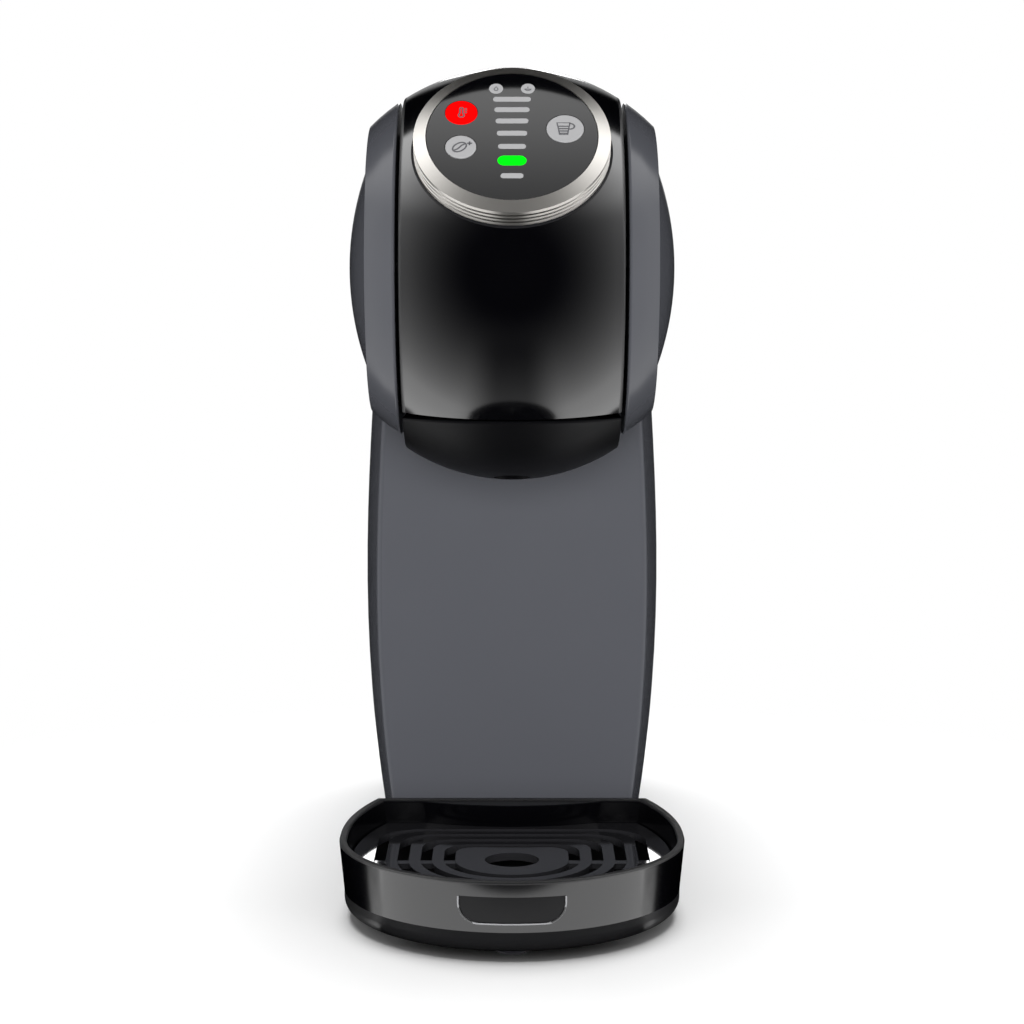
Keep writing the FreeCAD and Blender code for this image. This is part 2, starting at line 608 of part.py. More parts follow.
# Frame inside the visor: a thin liner with an arm down each side to the hinge
frame_ball = ball("frame_ball", "frame_outer", "0", "head_y", "head_z")
frame_sector = wedge("frame_sector", "-arm_low", "arm_high", "-visor_half", "visor_half")
frame_core = ball("frame_core", "frame_inner", "0", "head_y", "head_z")
core_zone = box("core_zone", "-arm_inner_x", "arm_inner_x", f"-{FAR}", FAR, "0", FAR)
frame_blank = cut("frame_blank", common("frame_block", frame_ball, frame_sector),
                  common("frame_hollow", frame_core, core_zone))
boss_right = rod("boss_right", "boss_radius", "arm_inner_x", "visor_half", "head_y", "head_z")
boss_left = rod("boss_left", "boss_radius", "-visor_half", "-arm_inner_x", "head_y", "head_z")
frame_arms = fuse("frame_arms", frame_blank, boss_right, boss_left)
arm_bore = rod("arm_bore", "pin_radius + run_fit", "-slot_half", "slot_half", "head_y", "head_z")
frame_recess = tilt(group("frame_recess", cylinder("frame_recess_tool", "recess_radius + seam", "head_radius",
                                                   z="-dial_floor - cup_wall - seam")))
piece("visor_frame", cut("visor_frame", frame_arms, arm_bore, frame_recess))

# Dial: cup, ring, panel, board, keys and lights, all drawn about the dial's own axis
cup = turned("dial_cup_turned", [
    ("0", "-dial_floor - cup_wall"),
    ("recess_radius - seam / 3", "-dial_floor - cup_wall"),
    ("recess_radius - seam / 3", "-dial_floor"),
    ("bore_radius - run_fit", "-dial_floor"),
    ("bore_radius - run_fit", "-bezel_wall - seam"),
    ("panel_radius", "-bezel_wall - seam"),
    ("panel_radius", "-panel_back"),
    ("spigot_inner", "-panel_back"),
    ("spigot_inner", "-board_seat"),
    ("spigot_inner - board_ledge", "-board_seat"),
    ("spigot_inner - board_ledge", "-dial_floor"),
    ("0", "-dial_floor"),
])
piece("dial_cup", tilt(cup))

ring_section = [("ring_bore", "0"), ("ring_radius", "-bezel_rise")]
for share in (0.25, 0.5, 0.75):
    middle = f"bezel_rise + (ring_depth - bezel_rise) * {share}"
    ring_section += [
        ("ring_radius", f"-({middle}) + groove_depth"),
        ("ring_radius - groove_depth", f"-({middle})"),
        ("ring_radius", f"-({middle}) - groove_depth"),
    ]
ring_section += [
    ("ring_radius", "-ring_depth"),
    ("bore_radius", "-ring_depth"),
    ("bore_radius", "-bezel_wall"),
    ("ring_bore", "-bezel_wall"),
]
piece("selector_ring", tilt(turned("selector_ring", ring_section)))

KEYS = {
    "temperature_key": ("heat_key_radius", "-side_keys_x", "heat_key_y"),
    "boost_key": ("boost_key_radius", "-side_keys_x", "boost_key_y"),
    "cup_key": ("cup_key_radius", "cup_key_x", "cup_key_y"),
}
key_holes = []
switches = []
for name, (radius, x, y) in KEYS.items():
    key_holes.append(cylinder(f"{name}_hole", f"{radius} + key_gap", "panel_back * 2", x, y, "-panel_back * 1.5"))
    blank = cylinder(f"{name}_blank", radius, "panel_wall + key_proud", x, y, "-panel_back")
    top = size("key_proud") - size("panel_sink")
    cap = soften(f"{name}_cap", blank, "key_proud * 1.6",
                 lambda edge: edge.Closed and abs(edge.CenterOfMass.z - top) < 1e-6)
    piece(name, tilt(group(name, cap)))
    switches.append(cylinder(f"{name}_switch", "switch_radius",
                             "board_seat - board_wall - panel_back - key_travel - seam / 3",
                             x, y, "board_wall - board_seat"))
piece("key_switches", tilt(group("key_switches", *switches)))

bars = []
for n in range(LIGHT_BAR_COUNT):
    middle = f"bar_first - bar_step * {n} - bar_growth * {n * (n - 1)}"
    half = f"(bar_width - bar_narrowing * {n}) / 2"
    block = box(f"bar_block{n}", f"-{half}", half, f"{middle} - bar_height / 2", f"{middle} + bar_height / 2",
                "-panel_sink - light_depth", "-panel_sink")
    bars.append(soften(f"bar{n}", block, "bar_height * 0.45",
                       lambda edge: abs(edge.tangentAt(edge.FirstParameter).z) > 0.9))
lamps = [cylinder(f"lamp{side}", "lamp_radius", "light_depth", f"lamp_x * {side}", "lamp_y",
                  "-panel_sink - light_depth") for side in (-1, 1)]
panel_disc = cylinder("panel_disc", "panel_radius", "panel_wall", z="-panel_back")
piece("control_panel", tilt(cut("control_panel", panel_disc, *key_holes, *bars, *lamps)))
piece("volume_bars", tilt(group("volume_bars", *[bar for n, bar in enumerate(bars) if n != LIT_BAR_INDEX])))
piece("active_bar", tilt(group("active_bar", bars[LIT_BAR_INDEX])))
piece("indicator_lights", tilt(group("indicator_lights", *lamps)))
piece("panel_board", tilt(group("panel_board", cylinder("panel_board_disc", "spigot_inner - seam / 2",
                                                        "board_wall", z="-board_seat"))))

# Brewing deck across the head, with guide posts, the needle carriage and the rails under it
deck_nose = ("sqrt((frame_inner - 1) * (frame_inner - 1) - (head_z - deck_z) * (head_z - deck_z))")
deck_side = f"sqrt({deck_nose} * {deck_nose} - frame_half * frame_half)"
deck = padded("deck", "deck_wall", [
    ("frame_half", "inner_back"),
    ("-frame_half", "inner_back"),
    ("-frame_half", f"head_y - {deck_side}", ("0", f"head_y - {deck_nose}")),
    ("frame_half", f"head_y - {deck_side}"),
])
put(deck, z="deck_z")
stem_hole = cylinder("stem_hole", "stem_radius + seam", "deck_wall * 3", "0", "pod_y", "deck_z - deck_wall")
piece("brew_frame", cut("brew_frame", deck, stem_hole))

posts = [cylinder(f"post{side}", "post_radius", "post_height", f"post_x * {side}", "pod_y", "deck_top")
         for side in (-1, 1)]
piece("guide_posts", group("guide_posts", *posts))

stem = cylinder("stem", "stem_radius", "stem_height", "0", "pod_y", "deck_z + seal_height + seam")
ears = box("ears", "-ear_half", "ear_half", "pod_y - post_radius * 2", "pod_y + post_radius * 2",
           "deck_top + post_radius", "deck_top + post_radius + ear_height")
ears_soft = soften("ears_soft", ears, "post_radius", lambda edge: abs(edge.tangentAt(edge.FirstParameter).z) > 0.9)
post_holes = [cylinder(f"post_hole{side}", "post_radius + run_fit", "post_height * 2", f"post_x * {side}", "pod_y",
                       "deck_z") for side in (-1, 1)]
needle = cylinder("needle", "needle_radius", "deck_z + seal_height + seam + needle_grip - holder_top - seam",
                  "0", "pod_y", "holder_top + seam")
piece("needle_carriage", cut("needle_carriage", fuse("carriage_blank", stem, ears_soft), *post_holes, needle))
piece("injection_needle", group("injection_needle", needle))
seal_disc = cylinder("seal_disc", "seal_radius", "seal_height", "0", "pod_y", "deck_z + seam")
piece("needle_seal", cut("needle_seal", seal_disc, needle))

rails = []
for side in (-1, 1):
    near, far = ("runner_in", "runner_out + seam + rail_wall")
    web = box(f"rail_web{side}", *sorted([f"{side} * (runner_out + seam)", f"{side} * ({far})"], key=size),
              "inner_front + seam * 2", "inner_back", "runner_low - seam - rail_wall", "deck_z")
    lip = box(f"rail_lip{side}", *sorted([f"{side} * {near}", f"{side} * ({far})"], key=size),
              "inner_front + seam * 2", "inner_back", "runner_low - seam - rail_wall", "runner_low - seam")
    rails.append(fuse(f"rail{side}", web, lip))
piece("guide_rails", group("guide_rails", *rails))

# Pod holder: a rounded chin with two runners behind it and a tapered seat with a liner
chin_ball = ball("chin_ball", "chin_radius", "0", "chin_y", "chin_z")
chin_zone = box("chin_zone", "-visor_half", "visor_half", f"-{FAR}", "holder_back", "0", "holder_top")
chin = common("chin", chin_ball, chin_zone)
chin_soft = soften("chin_soft", chin, "soft_edge", lambda edge: edge.CenterOfMass.y < size("holder_back") - 0.5)
runners = [box(f"runner{side}", *sorted([f"{side} * runner_in", f"{side} * runner_out"], key=size),
               "holder_back - 1", "holder_back + runner_reach", "runner_low", "runner_top") for side in (-1, 1)]
holder_blank = fuse("holder_blank", chin_soft, *runners)
floor_radius = "pod_radius - pod_taper"
liner_outside = [
    ("pod_radius + insert_wall + flange_width", "-flange_wall"),
    ("pod_radius + insert_wall", "-flange_wall"),
    (f"{floor_radius} + insert_wall", "-pod_depth - insert_wall"),
]
pod_seat = turned("pod_seat", [("0", "flange_wall"), ("pod_radius + insert_wall + flange_width", "flange_wall"),
                               *liner_outside, ("0", "-pod_depth - insert_wall")])
put(pod_seat, "0", "pod_y", "holder_top")
spout = cylinder("spout", "spout_radius", "chin_radius", "0", "pod_y", "holder_top - chin_radius")
piece("capsule_holder", cut("capsule_holder", holder_blank, pod_seat, spout))
liner = turned("pod_liner", [
    ("pod_radius", "0"),
    ("pod_radius + insert_wall + flange_width", "0"),
    *liner_outside,
    ("spout_radius", "-pod_depth - insert_wall"),
    ("spout_radius", "-pod_depth"),
    (floor_radius, "-pod_depth"),
])
piece("holder_insert", put(liner, "0", "pod_y", "holder_top"))

# Water tank behind the column: a rounded tub with a valve in its floor and a lid hinged at the front
def tank_plan(inset, rear="0"):
    half = f"tank_half - {inset}"
    front = f"tank_front + {inset}"
    back = f"back_y - {inset} - {rear}"
    turn = f"tank_corner - {inset}"
    nip = f"({turn}) * 0.29289"
    return [
        (f"-({half} - ({turn}))", front),
        (f"{half} - ({turn})", front, (f"{half} - {nip}", f"{front} + {nip}")),
        (half, f"{front} + {turn}"),
        (half, f"{back} - tank_round", ("0", back)),
        (f"-({half})", f"{back} - tank_round"),
        (f"-({half})", f"{front} + {turn}", (f"-({half} - {nip})", f"{front} + {nip}")),
    ]


tank_outer = put(padded("tank_outer", "tank_top - tank_floor", tank_plan("0")), z="tank_floor")
tank_room = put(padded("tank_room", "tank_top - tank_floor", tank_plan("tank_wall")), z="tank_floor + tank_wall")
valve_hole = cylinder("valve_hole", "valve_radius", "tank_wall * 3", "0", "valve_y", "tank_floor - tank_wall")
tub = cut("tub", tank_outer, tank_room, valve_hole)
beam = box("beam", "-beam_half", "beam_half", "tank_front", "hinge_y - barrel_radius - seam",
           "tank_top - beam_depth", "lid_top")
ear_rods = []
ear_blocks = []
for side in (-1, 1):
    reach = sorted([f"{side} * barrel_half", f"{side} * (barrel_half + hinge_ear)"], key=size)
    ear_rods.append(rod(f"ear_rod{side}", "barrel_radius", *reach, "hinge_y", "hinge_z"))
    ear_blocks.append(box(f"ear_block{side}", *reach, "tank_front", "hinge_y", "hinge_z - barrel_radius",
                          "hinge_z + barrel_radius"))
lid_pin = rod("lid_pin_rod", "lid_pin_radius", "-barrel_half - hinge_ear", "barrel_half + hinge_ear", "hinge_y", "hinge_z")
tank_body = fuse("tank_body", tub, beam, *ear_rods, *ear_blocks)
piece("tank_shell", cut("tank_shell", tank_body, lid_pin))
piece("lid_pin", group("lid_pin", lid_pin))

lid_blank = put(padded("lid_blank", "lid_plate", tank_plan("0")), z="tank_top + seam")
lid_front = box("lid_front", f"-{FAR}", FAR, f"-{FAR}", "hinge_y", "0", FAR)
ear_notches = [
    box(f"ear_notch{side}", *sorted([f"{side} * (barrel_half - seam)", f"{side} * (barrel_half + hinge_ear + seam)"],
                                    key=size), "hinge_y - barrel_radius * 2", "hinge_y + barrel_radius + seam", "0", FAR)
    for side in (-1, 1)
]
lid_flat = cut("lid_flat", lid_blank, lid_front, *ear_notches)
lid_soft = soften("lid_soft", lid_flat, "soft_edge",
                  lambda edge: abs(edge.BoundBox.ZMin - size("lid_top")) < 1e-4
                  and edge.CenterOfMass.y > size("hinge_y + barrel_radius * 3"))
lid_barrel = rod("lid_barrel", "barrel_radius", "-barrel_half + seam", "barrel_half - seam", "hinge_y", "hinge_z")
lid_whole = fuse("lid_whole", lid_soft, lid_barrel)
lid_bore = rod("lid_bore", "lid_pin_radius + run_fit", "-tank_half", "tank_half", "hinge_y", "hinge_z")
piece("tank_lid", cut("tank_lid", lid_whole, lid_bore))

valve_disc = cylinder("valve_disc", "valve_radius * 1.4", "tank_wall", "0", "valve_y", "tank_floor + tank_wall")
valve_stem = cylinder("valve_stem", "valve_radius * 0.6", "tank_wall / 2", "0", "valve_y", "tank_floor + tank_wall / 2")
piece("tank_valve", fuse("tank_valve", valve_disc, valve_stem))

# Base plate under the column and the tank, with the tank's dock, the feet and the parts that stand on it
foot_half = "column_foot_half - base_inset"
base_outline = [
    (f"-({foot_half} - column_bevel)", "-column_front + base_inset"),
    (f"{foot_half} - column_bevel", "-column_front + base_inset", (foot_half, "column_mid_y")),
    (f"{foot_half} - 1", "column_back"),
    ("tank_half - base_inset", "tank_front + tank_corner"),
    ("tank_half - base_inset", "back_y - tank_round - base_inset", ("0", "back_y - base_inset")),
    ("-(tank_half - base_inset)", "back_y - tank_round - base_inset"),
    ("-(tank_half - base_inset)", "tank_front + tank_corner"),
    (f"-({foot_half} - 1)", "column_back", (f"-({foot_half})", "column_mid_y")),
]
base_slab = put(padded("base_slab", "plate_base", base_outline), z="base_low")
dock = cylinder("dock", "dock_radius", "tank_floor - base_top", "0", "valve_y", "base_top")
coupling_hole = cylinder("coupling_hole", "valve_radius - 1", "tank_floor", "0", "valve_y", "base_low + plate_base / 2")
piece("base_plate", cut("base_plate", fuse("base_blank", base_slab, dock), coupling_hole))
piece("tank_coupling", cylinder("tank_coupling", "valve_radius - 1", "tank_floor - base_low - plate_base / 2",
                                "0", "valve_y", "base_low + plate_base / 2"))
feet = [cylinder(f"foot{n}", "foot_radius", "foot_height", f"foot_x * {side}", y)
        for n, (side, y) in enumerate([(-1, "-foot_front"), (1, "-foot_front"), (-1, "foot_back"), (1, "foot_back")])]
piece("base_feet", group("base_feet", *feet))

pump_place = ("-column_foot_half / 2", "column_mid_y")
piece("pump_mount", cylinder("pump_mount", "pump_radius * 0.8", "mount_height", *pump_place, "base_top"))
pump_body = cylinder("pump_body", "pump_radius", "pump_height", *pump_place, "base_top + mount_height")
pump_soft = soften("pump_soft", pump_body, "pump_radius / 6", lambda edge: edge.Closed)
pump_port = cylinder("pump_port", "pump_radius / 4", "pump_radius", *pump_place, "base_top + mount_height + pump_height")
piece("water_pump", fuse("water_pump", pump_soft, pump_port))
heater = box("heater", "column_foot_half / 6", "column_foot_half * 0.8", "-column_mid_y", "column_back / 2",
             "base_top", "base_top + heater_height")
piece("heater_block", soften("heater_block", heater, "wall", lambda edge: edge.Length > size("heater_height") - 0.1))
board_plate = box("board_plate", "-board_half", "board_half", "inner_back - standoff - board_wall",
                  "inner_back - standoff", "board_low", "board_low + board_height")
standoffs = [
    cylinder(f"standoff{x}{z}", "switch_radius", "standoff", f"(board_half - 5) * {x}", "inner_back",
             f"board_low + board_height / 2 + (board_height / 2 - 5) * {z}", Vector(1, 0, 0), "90")
    for x in (-1, 1) for z in (-1, 1)
]
piece("main_board", fuse("main_board", board_plate, *standoffs))


# Drip tray: basin, glossy rim with a plain plate in front, grid and feet
def tray_plan(inset):
    """Plan of the tray, moved inwards: a half circle in front and sides that close in on the column."""
    half, rear = f"tray_width / 2 - {inset}", f"tray_rear - {inset}"
    back = f"tray_back - {inset} * tray_close"
    start = "tray_mid_y + tray_straight"
    drop, length = size(f"({half}) - ({rear})"), size(f"{back} - ({start})")
    radius = (drop ** 2 + length ** 2) / (2 * drop)
    swing = math.asin(length / radius) / 2
    mid_x = size(half) - radius * (1 - math.cos(swing))
    mid_y = size(start) + radius * math.sin(swing)
    return [
        (f"-({rear})", back),
        (rear, back, (mid_x, mid_y)),
        (half, start),
        *half_round(half),
        (f"-({half})", "tray_mid_y"),
        (f"-({half})", start, (-mid_x, mid_y)),
    ]


def half_round(half):
    """The front half circle about the tray's middle, as two quarters from right to left."""
    mid = f"({half}) * 0.70711"
    return [
        (half, "tray_mid_y", (mid, f"tray_mid_y - {mid}")),
        ("0", f"tray_mid_y - ({half})", (f"-{mid}", f"tray_mid_y - {mid}")),
    ]


def tray_form(name, inset, low="band_top", high="rim_top"):
    """The rim's tapering form, moved inwards."""
    return loft(name, [(low, tray_plan(f"(rim_taper + {inset})")), (high, tray_plan(f"({inset})"))])


rim_outer = tray_form("rim_outer", "0")
rim_inner = tray_form("rim_inner", "rim_wall")
rim_ring = cut("rim_ring", rim_outer, rim_inner)


def ledge_form(name, height, gap):
    """The ledge at the back of the rim, grown by a gap."""
    ends = f"ledge_half + {gap} * 2"
    return put(padded(name, height, [
        (ends, "tray_back - rim_wall / 2"),
        (f"-({ends})", "tray_back - rim_wall / 2", ("0", f"tray_back - rim_wall - ledge_reach - {gap}")),
    ]), z="grid_seat")


ledge = ledge_form("ledge", "rim_top - grid_seat - soft_edge", "0")
rim_soft = soften("rim_soft", rim_ring, "soft_edge", lambda edge: abs(edge.BoundBox.ZMin - size("rim_top")) < 1e-4)
rim_whole = fuse("rim_whole", rim_soft, ledge)


def badge_block(name, shrink):
    """The upright block that cuts the front plate's outline: flat above, rounded below."""
    half, low, high = (f"badge_half - {shrink}", f"badge_top - badge_height + {shrink}", f"badge_top - {shrink}")
    nip = "badge_round * 0.29289"
    body = padded(name, "tray_width / 2", [
        (half, high),
        (f"-({half})", high),
        (f"-({half})", f"{low} + badge_round", (f"-({half} - {nip})", f"{low} + {nip}")),
        (f"-({half} - badge_round)", low),
        (f"{half} - badge_round", low, (f"{half} - {nip}", f"{low} + {nip}")),
        (half, f"{low} + badge_round"),
    ], plane="XZ_Plane")
    return put(body, "0", "tray_mid_y")


rim_sunk = tray_form("rim_sunk", "badge_sink")
rim_plate = tray_form("rim_plate", "badge_sink - badge_wall")
badge_recess = common("badge_recess", cut("badge_skin", rim_outer, rim_sunk), badge_block("badge_cutter", "0"))
piece("tray_rim", cut("tray_rim", rim_whole, badge_recess))
plate_skin = cut("plate_skin", rim_plate, rim_sunk)
piece("front_plate", common("front_plate", plate_skin, badge_block("plate_cutter", "seam / 2")))

band = put(padded("band", "band_top - tray_lift", tray_plan("rim_taper")), z="tray_lift")
band_soft = soften("band_soft", band, "band_round", lambda edge: abs(edge.BoundBox.ZMax - size("tray_lift")) < 1e-4)
basin_wall = put(padded("basin_wall", "grid_seat - band_top + 1", tray_plan("basin_inset")), z="band_top - 1")
basin_room = put(padded("basin_room", "rim_top", tray_plan("(basin_inset + tray_wall)")), z="tray_lift + tray_wall")
piece("drip_tray", cut("drip_tray", fuse("basin", band_soft, basin_wall), basin_room))
tray_feet = [cylinder(f"tray_foot{n}", "tray_foot_radius", "tray_lift", x, y)
             for n, (x, y) in enumerate([("0", "-tray_foot_y"), ("-tray_rear / 2", "tray_back - 12"),
                                         ("tray_rear / 2", "tray_back - 12")])]
piece("tray_feet", group("tray_feet", *tray_feet))


# Grid: nested slots that follow the tray's front, held together by two crossing ribs
def slot_plan(half, back, corner):
    nip = f"({corner}) * 0.29289"
    return [
        (f"-({half} - ({corner}))", back),
        (f"{half} - ({corner})", back, (f"{half} - {nip}", f"{back} - {nip}")),
        (half, f"{back} - ({corner})"),
        *half_round(half),
        (f"-({half})", "tray_mid_y"),
        (f"-({half})", f"{back} - ({corner})", (f"-({half} - {nip})", f"{back} - {nip}")),
    ]


grid_blank = put(padded("grid_blank", "grid_plate", tray_plan("grid_inset")), z="grid_seat")
grid = cut("grid", grid_blank, ledge_form("ledge_notch", "rim_top", "grid_gap"))
slots = []
for n in range(GRID_SLOT_COUNT):
    half, back = f"slot_outer - slot_pitch * {n}", f"slot_rear - tray_length * slot_step * {n}"
    corner = f"slot_corner - slot_shrink * {n}"
    outside = padded(f"slot_outside{n}", "grid_plate * 3", slot_plan(half, back, corner))
    inside = padded(f"slot_inside{n}", "grid_plate * 3",
                    slot_plan(f"{half} - slot_width", f"{back} - slot_width", f"{corner} - slot_shrink"))
    slots.append(put(cut(f"slot{n}", outside, inside), z="grid_seat - grid_plate"))
drain = cylinder("drain", "drain_radius", "grid_plate * 3", "0", "tray_mid_y", "grid_seat - grid_plate")
slotted = cut("slotted", grid, *slots)
rib_low, rib_high = "grid_seat", "grid_top - rib_drop"
cross_rib = box("cross_rib", "-slot_outer - 1", "slot_outer + 1", "tray_mid_y - rib_width / 2",
                "tray_mid_y + rib_width / 2", rib_low, rib_high)
long_rib = box("long_rib", "-rib_width / 2", "rib_width / 2", "tray_mid_y - slot_outer - 1", "slot_rear + 1",
               rib_low, rib_high)
piece("drip_grid", cut("drip_grid", fuse("ribbed", slotted, cross_rib, long_rib), drain))

doc.recompute()
failed = [item.Label for item in doc.Objects if {"Invalid", "Error"} & set(item.State)]
if failed:
    raise RuntimeError(f"These failed: {failed}")
os.makedirs("parts", exist_ok=True)
for item in PARTS:
    if item.Shape.isNull() or not item.Shape.isValid() or not item.Shape.Solids:
        raise RuntimeError(f"{item.Label} has no valid solid")
for item in PARTS:
    item.Shape.exportStep(f"parts/{item.Label}.step")
    print(item.Label, len(item.Shape.Solids), round(item.Shape.Volume, 1))
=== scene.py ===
"""Dresses a packed pod coffee machine: finishes, key symbols, fine trim, light and camera."""

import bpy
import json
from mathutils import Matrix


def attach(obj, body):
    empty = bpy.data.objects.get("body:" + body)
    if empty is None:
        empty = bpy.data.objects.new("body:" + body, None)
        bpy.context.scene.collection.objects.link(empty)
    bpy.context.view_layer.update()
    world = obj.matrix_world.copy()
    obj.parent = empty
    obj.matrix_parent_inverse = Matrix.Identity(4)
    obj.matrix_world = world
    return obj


bl_info = {
    "name": "Pod Coffee Machine Dresser",
    "version": (1, 0, 0),
    "blender": (4, 5, 0),
    "location": "View3D > Sidebar > Coffee Machine",
    "description": "Finishes, key symbols and studio for a slim pod coffee machine",
    "category": "Object",
}

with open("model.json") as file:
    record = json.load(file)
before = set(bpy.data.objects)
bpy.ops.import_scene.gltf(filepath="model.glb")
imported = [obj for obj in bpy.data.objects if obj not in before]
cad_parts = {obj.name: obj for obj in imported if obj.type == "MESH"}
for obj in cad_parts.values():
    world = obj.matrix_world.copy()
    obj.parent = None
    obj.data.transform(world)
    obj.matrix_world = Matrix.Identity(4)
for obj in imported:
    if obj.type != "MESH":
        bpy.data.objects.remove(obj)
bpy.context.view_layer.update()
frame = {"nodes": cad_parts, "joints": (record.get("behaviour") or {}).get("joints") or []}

import json
import math

import bmesh
import bpy
from bpy.props import FloatProperty, FloatVectorProperty, PointerProperty
from bpy.types import Operator, Panel, PropertyGroup
from mathutils import Matrix, Vector, geometry
from mathutils.bvhtree import BVHTree

MM = 0.001
NODES = frame["nodes"]
JOINTS = {joint["name"]: joint for joint in frame["joints"]}

# Refractive indices of the plastics
ABS_IOR = 1.54
POLYCARBONATE_IOR = 1.58
POLYPROPYLENE_IOR = 1.49
SAN_IOR = 1.57

# Moulded grain: strength of its bump, and size and contrast of the slow change of gloss
GRAIN_STRENGTH = 0.6
CLOUD_SIZE = 24 * MM
CLOUD_LOW = 0.35
CLOUD_HIGH = 0.65

# Brush lines of the ring: about 0.1 mm apart on a real one, drawn at 0.3 mm so that they show
BRUSH_SPACING = 0.3 * MM
BRUSH_DEPTH = 0.01 * MM
BRUSH_STRENGTH = 0.5
BRUSH_SMOOTH = 0.24
BRUSH_ROUGH = 0.4

# Lit caps: the colour of their plastic as a share of their light
CAP_TINT = 0.3
# The lit bar's painted glow: radius of its ends in widths of the bar, and its length in lengths of the bar
GLOW_ENDS = 0.95
GLOW_LENGTH = 1.14
# Lamp symbols are drawn finer than key symbols, by this share
LAMP_STROKE = 0.6

# The bead round the plate: how far it stands out of the rim and reaches into it, its inner and outer edge in
# bead widths from the plate's outline, and the step along it
BEAD_PROUD = 0.08 * MM
BEAD_SUNK = 0.3 * MM
BEAD_INNER = 0.4
BEAD_OUTER = 1.4
BEAD_STEP = 1 * MM
# Corners this near the plate's highest belong to its top edge, which has no bead
TOP_EDGE = 0.1 * MM
# Rays that look for the rim's face start this far in front of the machine
RAY_START = -1.0

# Floor: a disc of paper that fades out between two distances from its middle
FLOOR_MIDDLE = (0, -0.04, 0)
FLOOR_RADIUS = 0.34
FLOOR_FADE_START = 0.2
FLOOR_FADE_END = 0.32

# The card in front of the tray, and the distance from which it can't be seen
CARD_MIDDLE = (0, -0.1485, 0.0005)
CARD_SIZE = (0.32, 0.067, 1)
CARD_GLOW = 1.8
CARD_REACH = 0.1

# The camera's sensor and its furthest view, and the point that the lights face
SENSOR_WIDTH_MM = 36
VIEW_END = 50
LIGHT_AIM = Vector((0, -0.03, 0.12))
# Soft lights: name, place, size, share of the fill power, and the group of what it lights
LIGHTS = (
    ("fill_front", (0, -1.8, 0.35), 0.9, 1.0, "floor_unlit"),
    ("fill_top", (0, 0.0, 1.7), 1.6, 0.2, "floor_unlit"),
    ("fill_back", (0, 1.8, 0.9), 0.9, 0.5, "floor_unlit"),
    ("fill_left", (-1.5, -0.5, 0.15), 0.9, 0.34, "floor_unlit"),
    ("fill_right", (1.5, -0.5, 0.15), 0.9, 0.34, "floor_unlit"),
    ("floor_lamp", (0, 0.15, 1.5), 1.2, 0.6, "floor_lit"),
)

# Light of the room on dull surfaces, and its white behind the machine
ROOM_LIGHT = 0.3
ROOM_WHITE = 1.0
# The tent grows brighter from near the camera to the sides, in degrees from straight in front
RISE_START = 20
RISE_END = 92
RISE_POWER = 2.2
# How far the sides of the roof's edge bend
ROOF_BOW = 6.5
# Directions in the tent, worked out from the unit vector's parts (across to the right, along to the back, and
# up): name, operation and sources. The turn is in degrees from straight in front
TENT_WAYS = (
    ("side", "ABSOLUTE", "across"),
    ("level", "ABSOLUTE", "up"),
    ("ahead", "MULTIPLY", "along", -1.0),
    ("angle", "ARCCOSINE", "ahead"),
    ("turn", "DEGREES", "angle"),
    ("square", "MULTIPLY", "side", "side"),
    ("bowed", "MULTIPLY_ADD", "square", ROOF_BOW, "along"),
)
# Patches of the tent, each a product of smooth ramps: direction, from, to, value before and value after
TENT_PATCHES = {
    # The tent reaches round past the sides, and further low down, where the white worktop carries its light
    "round": (("turn", 111, 115, 1, 0),),
    "worktop": (("up", -0.6, -0.4, 1, 0), ("side", 0.25, 0.45, 0, 1), ("turn", 115, 118, 1, 0)),
    # The tray and the camera shade the middle of the worktop
    "shade": (("up", -0.75, -0.45, -0.72, 0), ("side", 0.1, 0.4, 1, 0)),
    # Overhead the tent is dim in front and bright at the edge of the roof
    "overhead": (("up", 0.9, 0.96, 0, 1), ("along", -0.115, -0.055, -0.62, 0.2)),
    # High on both sides it is brighter
    "wings": (("side", 0.3, 0.6, 0, 0.8), ("up", 0.4, 0.6, 0, 1)),
    # The roof ends at a bowed edge, and the cards at the machine's own level end early
    "under_roof": (("up", 0.85, 0.92, 1, 0),),
    "roof_edge": (("bowed", -0.0603, -0.0597, 1, 0),),
    "off_level": (("level", 0.3, 0.45, 0, 1),),
    "card_edge": (("turn", 99.5, 101, 1, 0),),
    # A wall straight behind shows in lips and edges, and a lamp low on it in the corners of the grid
    "wall": (("side", 0.14, 0.24, 0.4, 0), ("up", 0.0, 0.05, 0, 1), ("along", 0.85, 0.9, 0, 1)),
    "lamp": (("side", 0.08, 0.095, 5.0, 0), ("up", 0.19, 0.21, 0, 1), ("up", 0.3, 0.32, 1, 0),
             ("along", 0.85, 0.9, 0, 1)),
}
# What the tent's light is multiplied by: operation and sources
TENT_FACTORS = (
    ("MAXIMUM", "round", "worktop"),
    ("ADD", "shade", 1.0),
    ("ADD", "overhead", 1.0),
    ("ADD", "wings", 1.0),
    ("MAXIMUM", "under_roof", "roof_edge"),
    ("MAXIMUM", "off_level", "card_edge"),
)


def linear(code):
    """An sRGB hex colour as the linear values that shaders work in."""
    channels = [int(code[n:n + 2], 16) / 255 for n in (1, 3, 5)]
    return tuple(c / 12.92 if c <= 0.04045 else ((c + 0.055) / 1.055) ** 2.4 for c in channels)


def colour(name, words, code):
    """A property for one finish's colour, given as sRGB hex."""
    return FloatVectorProperty(name=name, description=words, default=linear(code), subtype="COLOR",
                               min=0, max=1)


